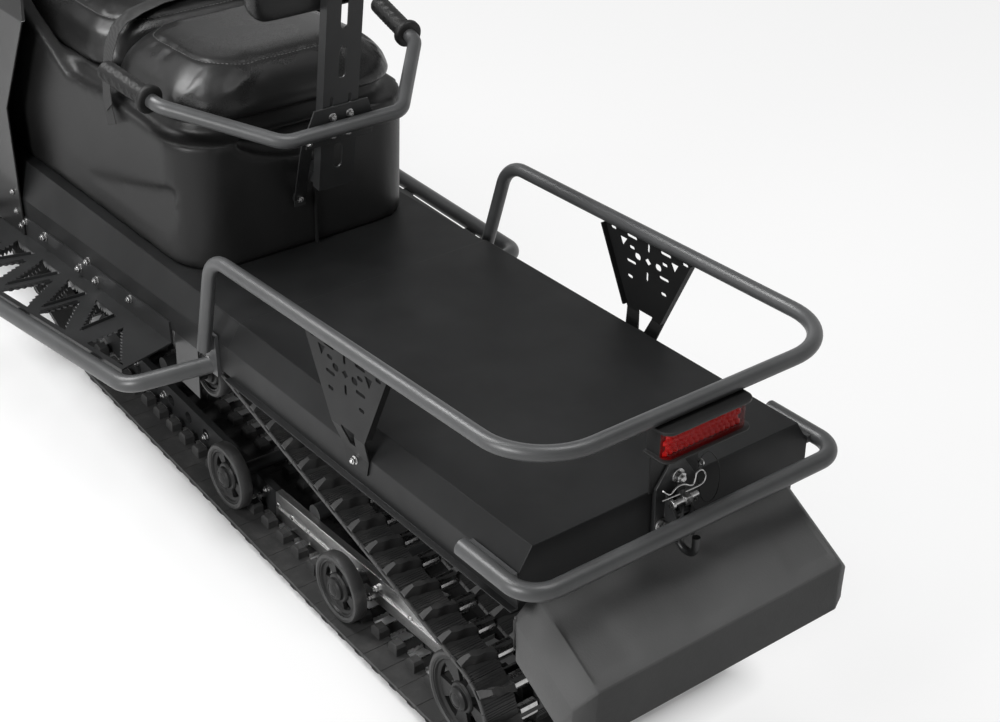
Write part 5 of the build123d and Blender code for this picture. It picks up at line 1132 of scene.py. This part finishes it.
LEG_X, LEG_Z, LEG_LEAN, STANCE = 2330, 96, radians(-18), 440
BOOT_LOW, BOOT_HIGH, BOOT_FOLDS, BOOT_END = 34, 196, 8, 6
SKI_TOP, SKI_BOLTS, SKI_BOLT_SIZE = 26, (-330, -200, 200, 330), 1.1
SCREEN_FOOT, SCREEN_TOP, SCREEN_HALF, SCREEN_BOW, SCREEN_FRONT = 310, 900, 269.9, 430, 2190
SCREEN_LEAN = tan(radians(24))
# Points of the screen's side edge: share of its height, and of its half width
SCREEN_SHARES = [(0.22, 0.944), (0.78, 0.80), (0.93, 0.72), (1.00, 0.54)]


def leg_boots():
    """A ribbed rubber boot round each leg, and the nuts of the wear runner on each ski."""
    profile = [(20, BOOT_LOW), (25, BOOT_LOW), (25, BOOT_LOW + BOOT_END)]
    fold = (BOOT_HIGH - BOOT_LOW - 2 * BOOT_END) / BOOT_FOLDS
    for step in range(BOOT_FOLDS):
        at = BOOT_LOW + BOOT_END + step * fold
        profile += [(22.5, at + 2), (31 - step * 0.4, at + fold * 0.5), (22.5, at + fold - 2)]
    profile += [(25, BOOT_HIGH - BOOT_END), (25, BOOT_HIGH), (20, BOOT_HIGH)]
    for side, name in ((1, "left"), (-1, "right")):
        body = "ski_%s_set" % name
        place = Matrix.Translation((LEG_X, side * STANCE, LEG_Z)) @ Matrix.Rotation(LEG_LEAN, 4, "Y")
        boot = Shape().turned(profile, place, 36)
        piece("leg_boot_" + name, boot.mesh("leg_boot_" + name, GROUND, 60), "soft_rubber", body)
        rows = [(LEG_X + at, side * STANCE, SKI_TOP, SKI_BOLT_SIZE) for at in SKI_BOLTS]
        fastened("runner_nuts_" + name, [(GROUND, UP, False, rows)], hex_bolt(), "bright_steel", body)


def screen_edge(share, half_share, side):
    """A point of the screen's outer face, at one of its side edges."""
    rise = share * (SCREEN_TOP - SCREEN_FOOT)
    half = half_share * SCREEN_HALF
    middle = SCREEN_FRONT - rise * SCREEN_LEAN - SCREEN_BOW
    return middle + (SCREEN_BOW ** 2 - half ** 2) ** 0.5 - 2, side * half, SCREEN_FOOT + rise


def screen_trim():
    """A rubber bead round the screen's free edge."""
    sides = {side: [screen_edge(share, half, side) for share, half in SCREEN_SHARES] for side in SIDES}
    top_half = SCREEN_SHARES[-1][1]
    over = [screen_edge(1.0, top_half * abs(step) / 4, 1 if step > 0 else -1) for step in range(3, -4, -1)]
    bead = sides[1] + over + sides[-1][::-1]
    piece("screen_bead", wire("screen_bead", dense(bead, 12, False), 3.2, DECK), "soft_rubber", "hood")


FINS_EACH_WAY, FIN_PITCH, FIN_HALF, FIN_LENGTH = 4, 36, 4, 120


def engine_fins():
    """Cooling fins and a pull-starter's round cover on the engine."""
    low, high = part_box("engine_block")
    middle = DECK.inverted() @ ((low + high) / 2)
    shape = Shape()
    for fin in range(-FINS_EACH_WAY, FINS_EACH_WAY + 1):
        y = fin * FIN_PITCH
        shape.block((middle.x - FIN_LENGTH, middle.x + FIN_LENGTH), (y - FIN_HALF, y + FIN_HALF), (216, 232))
    shape.turned([(96, 0), (96, 12), (88, 20), (60, 24), (22, 24), (18, 30), (8, 32)],
                 Matrix.Translation((middle.x, 208, 70)) @ Matrix.Rotation(-pi / 2, 4, "X"), 48)
    piece("engine_fins", shape.mesh("engine_fins", DECK), "cast_grey", bevel=1.2)


leg_boots()
screen_trim()
engine_fins()


# ---- edges of the sheet pieces


def eased(width, *names):
    """Rounds the folds and edges of CAD nodes, by modifiers alone, so that they catch the light."""
    for name in names:
        modify(NODES[name], "weld", "WELD", merge_threshold=SAME_POINT)
        modify(NODES[name], "flat", "DECIMATE", decimate_type="DISSOLVE", angle_limit=radians(1))
        edge_rounding(NODES[name], "edge", width, 30)


eased(2.2, "tunnel_rear", "tunnel", "belly_pan")
eased(7, "hood", "cowls", "console", "engine_block")
eased(0.8, "lamp_housing", "hitch_bracket", "skid_rails", "grab_plate", "skid_rear_rails")


# ---- camera, lights and floor

SENSOR, FOCAL_PIXELS, PHOTO_WIDTH = 36, 1755.5, 1000
BACKDROP, WORLD_LIGHT = 0.74, 0.26
FLOOR_SEEN, FLOOR_BOUNCE, FLOOR_GLOW, FLOOR_SIZE = 0.93, 0.42, 0.78, 30
SHADE_WIDTH, SHADE_DARK = 0.07, 0.04

def look():
    """The photograph's camera: behind, to the left and above, fitted to the machine's own edges."""
    camera = linked("camera", bpy.data.cameras.new("camera"))
    camera.data.sensor_fit, camera.data.sensor_width = "HORIZONTAL", SENSOR
    camera.data.lens = SENSOR * FOCAL_PIXELS / PHOTO_WIDTH
    camera.data.clip_end = 60
    right, down = Vector((-0.61078, -0.79179, 0.00393)), Vector((-0.40271, 0.30636, -0.86253))
    turn = Matrix((right, -down, -right.cross(down))).transposed()
    camera.matrix_world = (Matrix.Translation(DECK @ Vector((-1486.2, 1463.3, 1412.0)))
                           @ Matrix.Rotation(TILT, 4, "Y") @ turn.to_4x4())
    bpy.context.scene.camera = camera


def soft_lamp(name, place, aim, size, power):
    lamp = linked(name, bpy.data.lights.new(name, "AREA"))
    lamp.data.shape, lamp.data.size, lamp.data.energy = "DISK", size, power
    lamp.location = place
    lamp.rotation_mode = "QUATERNION"
    lamp.rotation_quaternion = (Vector(aim) - Vector(place)).to_track_quat("-Z", "Y")


def shown_rays(net, gloss=1.0):
    """1 for what the camera sees straight or through glass, gloss in mirrors, and 0 for the light on the object."""
    path = net.add("ShaderNodeLightPath")
    straight = path.out("Is Camera Ray").math("MAXIMUM", path.out("Is Transmission Ray"))
    return straight.math("MAXIMUM", path.out("Is Glossy Ray") * gloss)


def footprint_shade(net, node, soft, dark):
    """From dark under a node to 1 at the given distance outside its plan, over the floor's own coordinates."""
    box = [NODES[node].matrix_world @ Vector(corner) for corner in NODES[node].bound_box]
    place = net.add("ShaderNodeSeparateXYZ", {}, {0: net.coords})
    outside = []
    for axis, name in enumerate("XY"):
        low, high = min(corner[axis] for corner in box), max(corner[axis] for corner in box)
        off = (place.out(name) - (low + high) / 2).math("ABSOLUTE") - (high - low) / 2
        outside.append(off.math("MAXIMUM", 0.0) ** 2.0)
    far = ((outside[0] + outside[1]) ** 0.5 / soft).math("MINIMUM", 1.0)
    return far ** 0.7 * (1 - dark) + dark


def studio():
    """A white room: a dim world for light, three soft lamps, and a pale floor that is partly self-lit."""
    world = bpy.data.worlds.new("studio")
    world.use_nodes = True
    bpy.context.scene.world = world
    net = Net(world.node_tree)
    background = world.node_tree.nodes["Background"]
    background.inputs["Color"].default_value = (1, 1, 1, 1)
    toward = net.add("ShaderNodeSeparateXYZ", {}, {0: net.add("ShaderNodeTexCoord").out("Object")})
    low = (1.2 - toward.out("Z").math("ABSOLUTE") * 3.0).math("MINIMUM", 1.0).math("MAXIMUM", 0.0)
    net.tree.links.new((shown_rays(net, low) * BACKDROP + WORLD_LIGHT).socket, background.inputs["Strength"])
    soft_lamp("key", (1.0, 1.2, 3.0), (-0.6, 0.1, 0.6), 1.5, 88)
    soft_lamp("left_fill", (-1.3, 3.1, 1.9), (-0.4, 0, 0.4), 1.1, 78)
    soft_lamp("top_fill", (-1.4, -0.5, 3.7), (-0.8, 0, 0.6), 1.3, 42)
    floor = bpy.data.meshes.new("floor")
    corners = [(a * FLOOR_SIZE, b * FLOOR_SIZE, 0) for a, b in ((-1, -1), (1, -1), (1, 1), (-1, 1))]
    floor.from_pydata(corners, [], [(0, 1, 2, 3)])
    sweep = linked("floor", floor)
    pale = Finish("pale_floor", Roughness=0.9)
    pale.colour(shown_rays(pale), grey(FLOOR_BOUNCE), grey(FLOOR_SEEN))
    lit = pale.add("ShaderNodeEmission", {}, {"Color": (1, 1, 1, 1)})
    share = shown_rays(pale, 0.6) * footprint_shade(pale, "track", SHADE_WIDTH, SHADE_DARK) * FLOOR_GLOW
    both = pale.add("ShaderNodeMixShader", {}, {0: share, 1: Wire(pale, pale.surface.outputs[0]), 2: lit})
    pale.tree.links.new(both.socket, pale.tree.nodes["Material Output"].inputs["Surface"])
    floor.materials.append(pale.material)


look()
studio()
bpy.context.scene.view_settings.view_transform = "Standard"
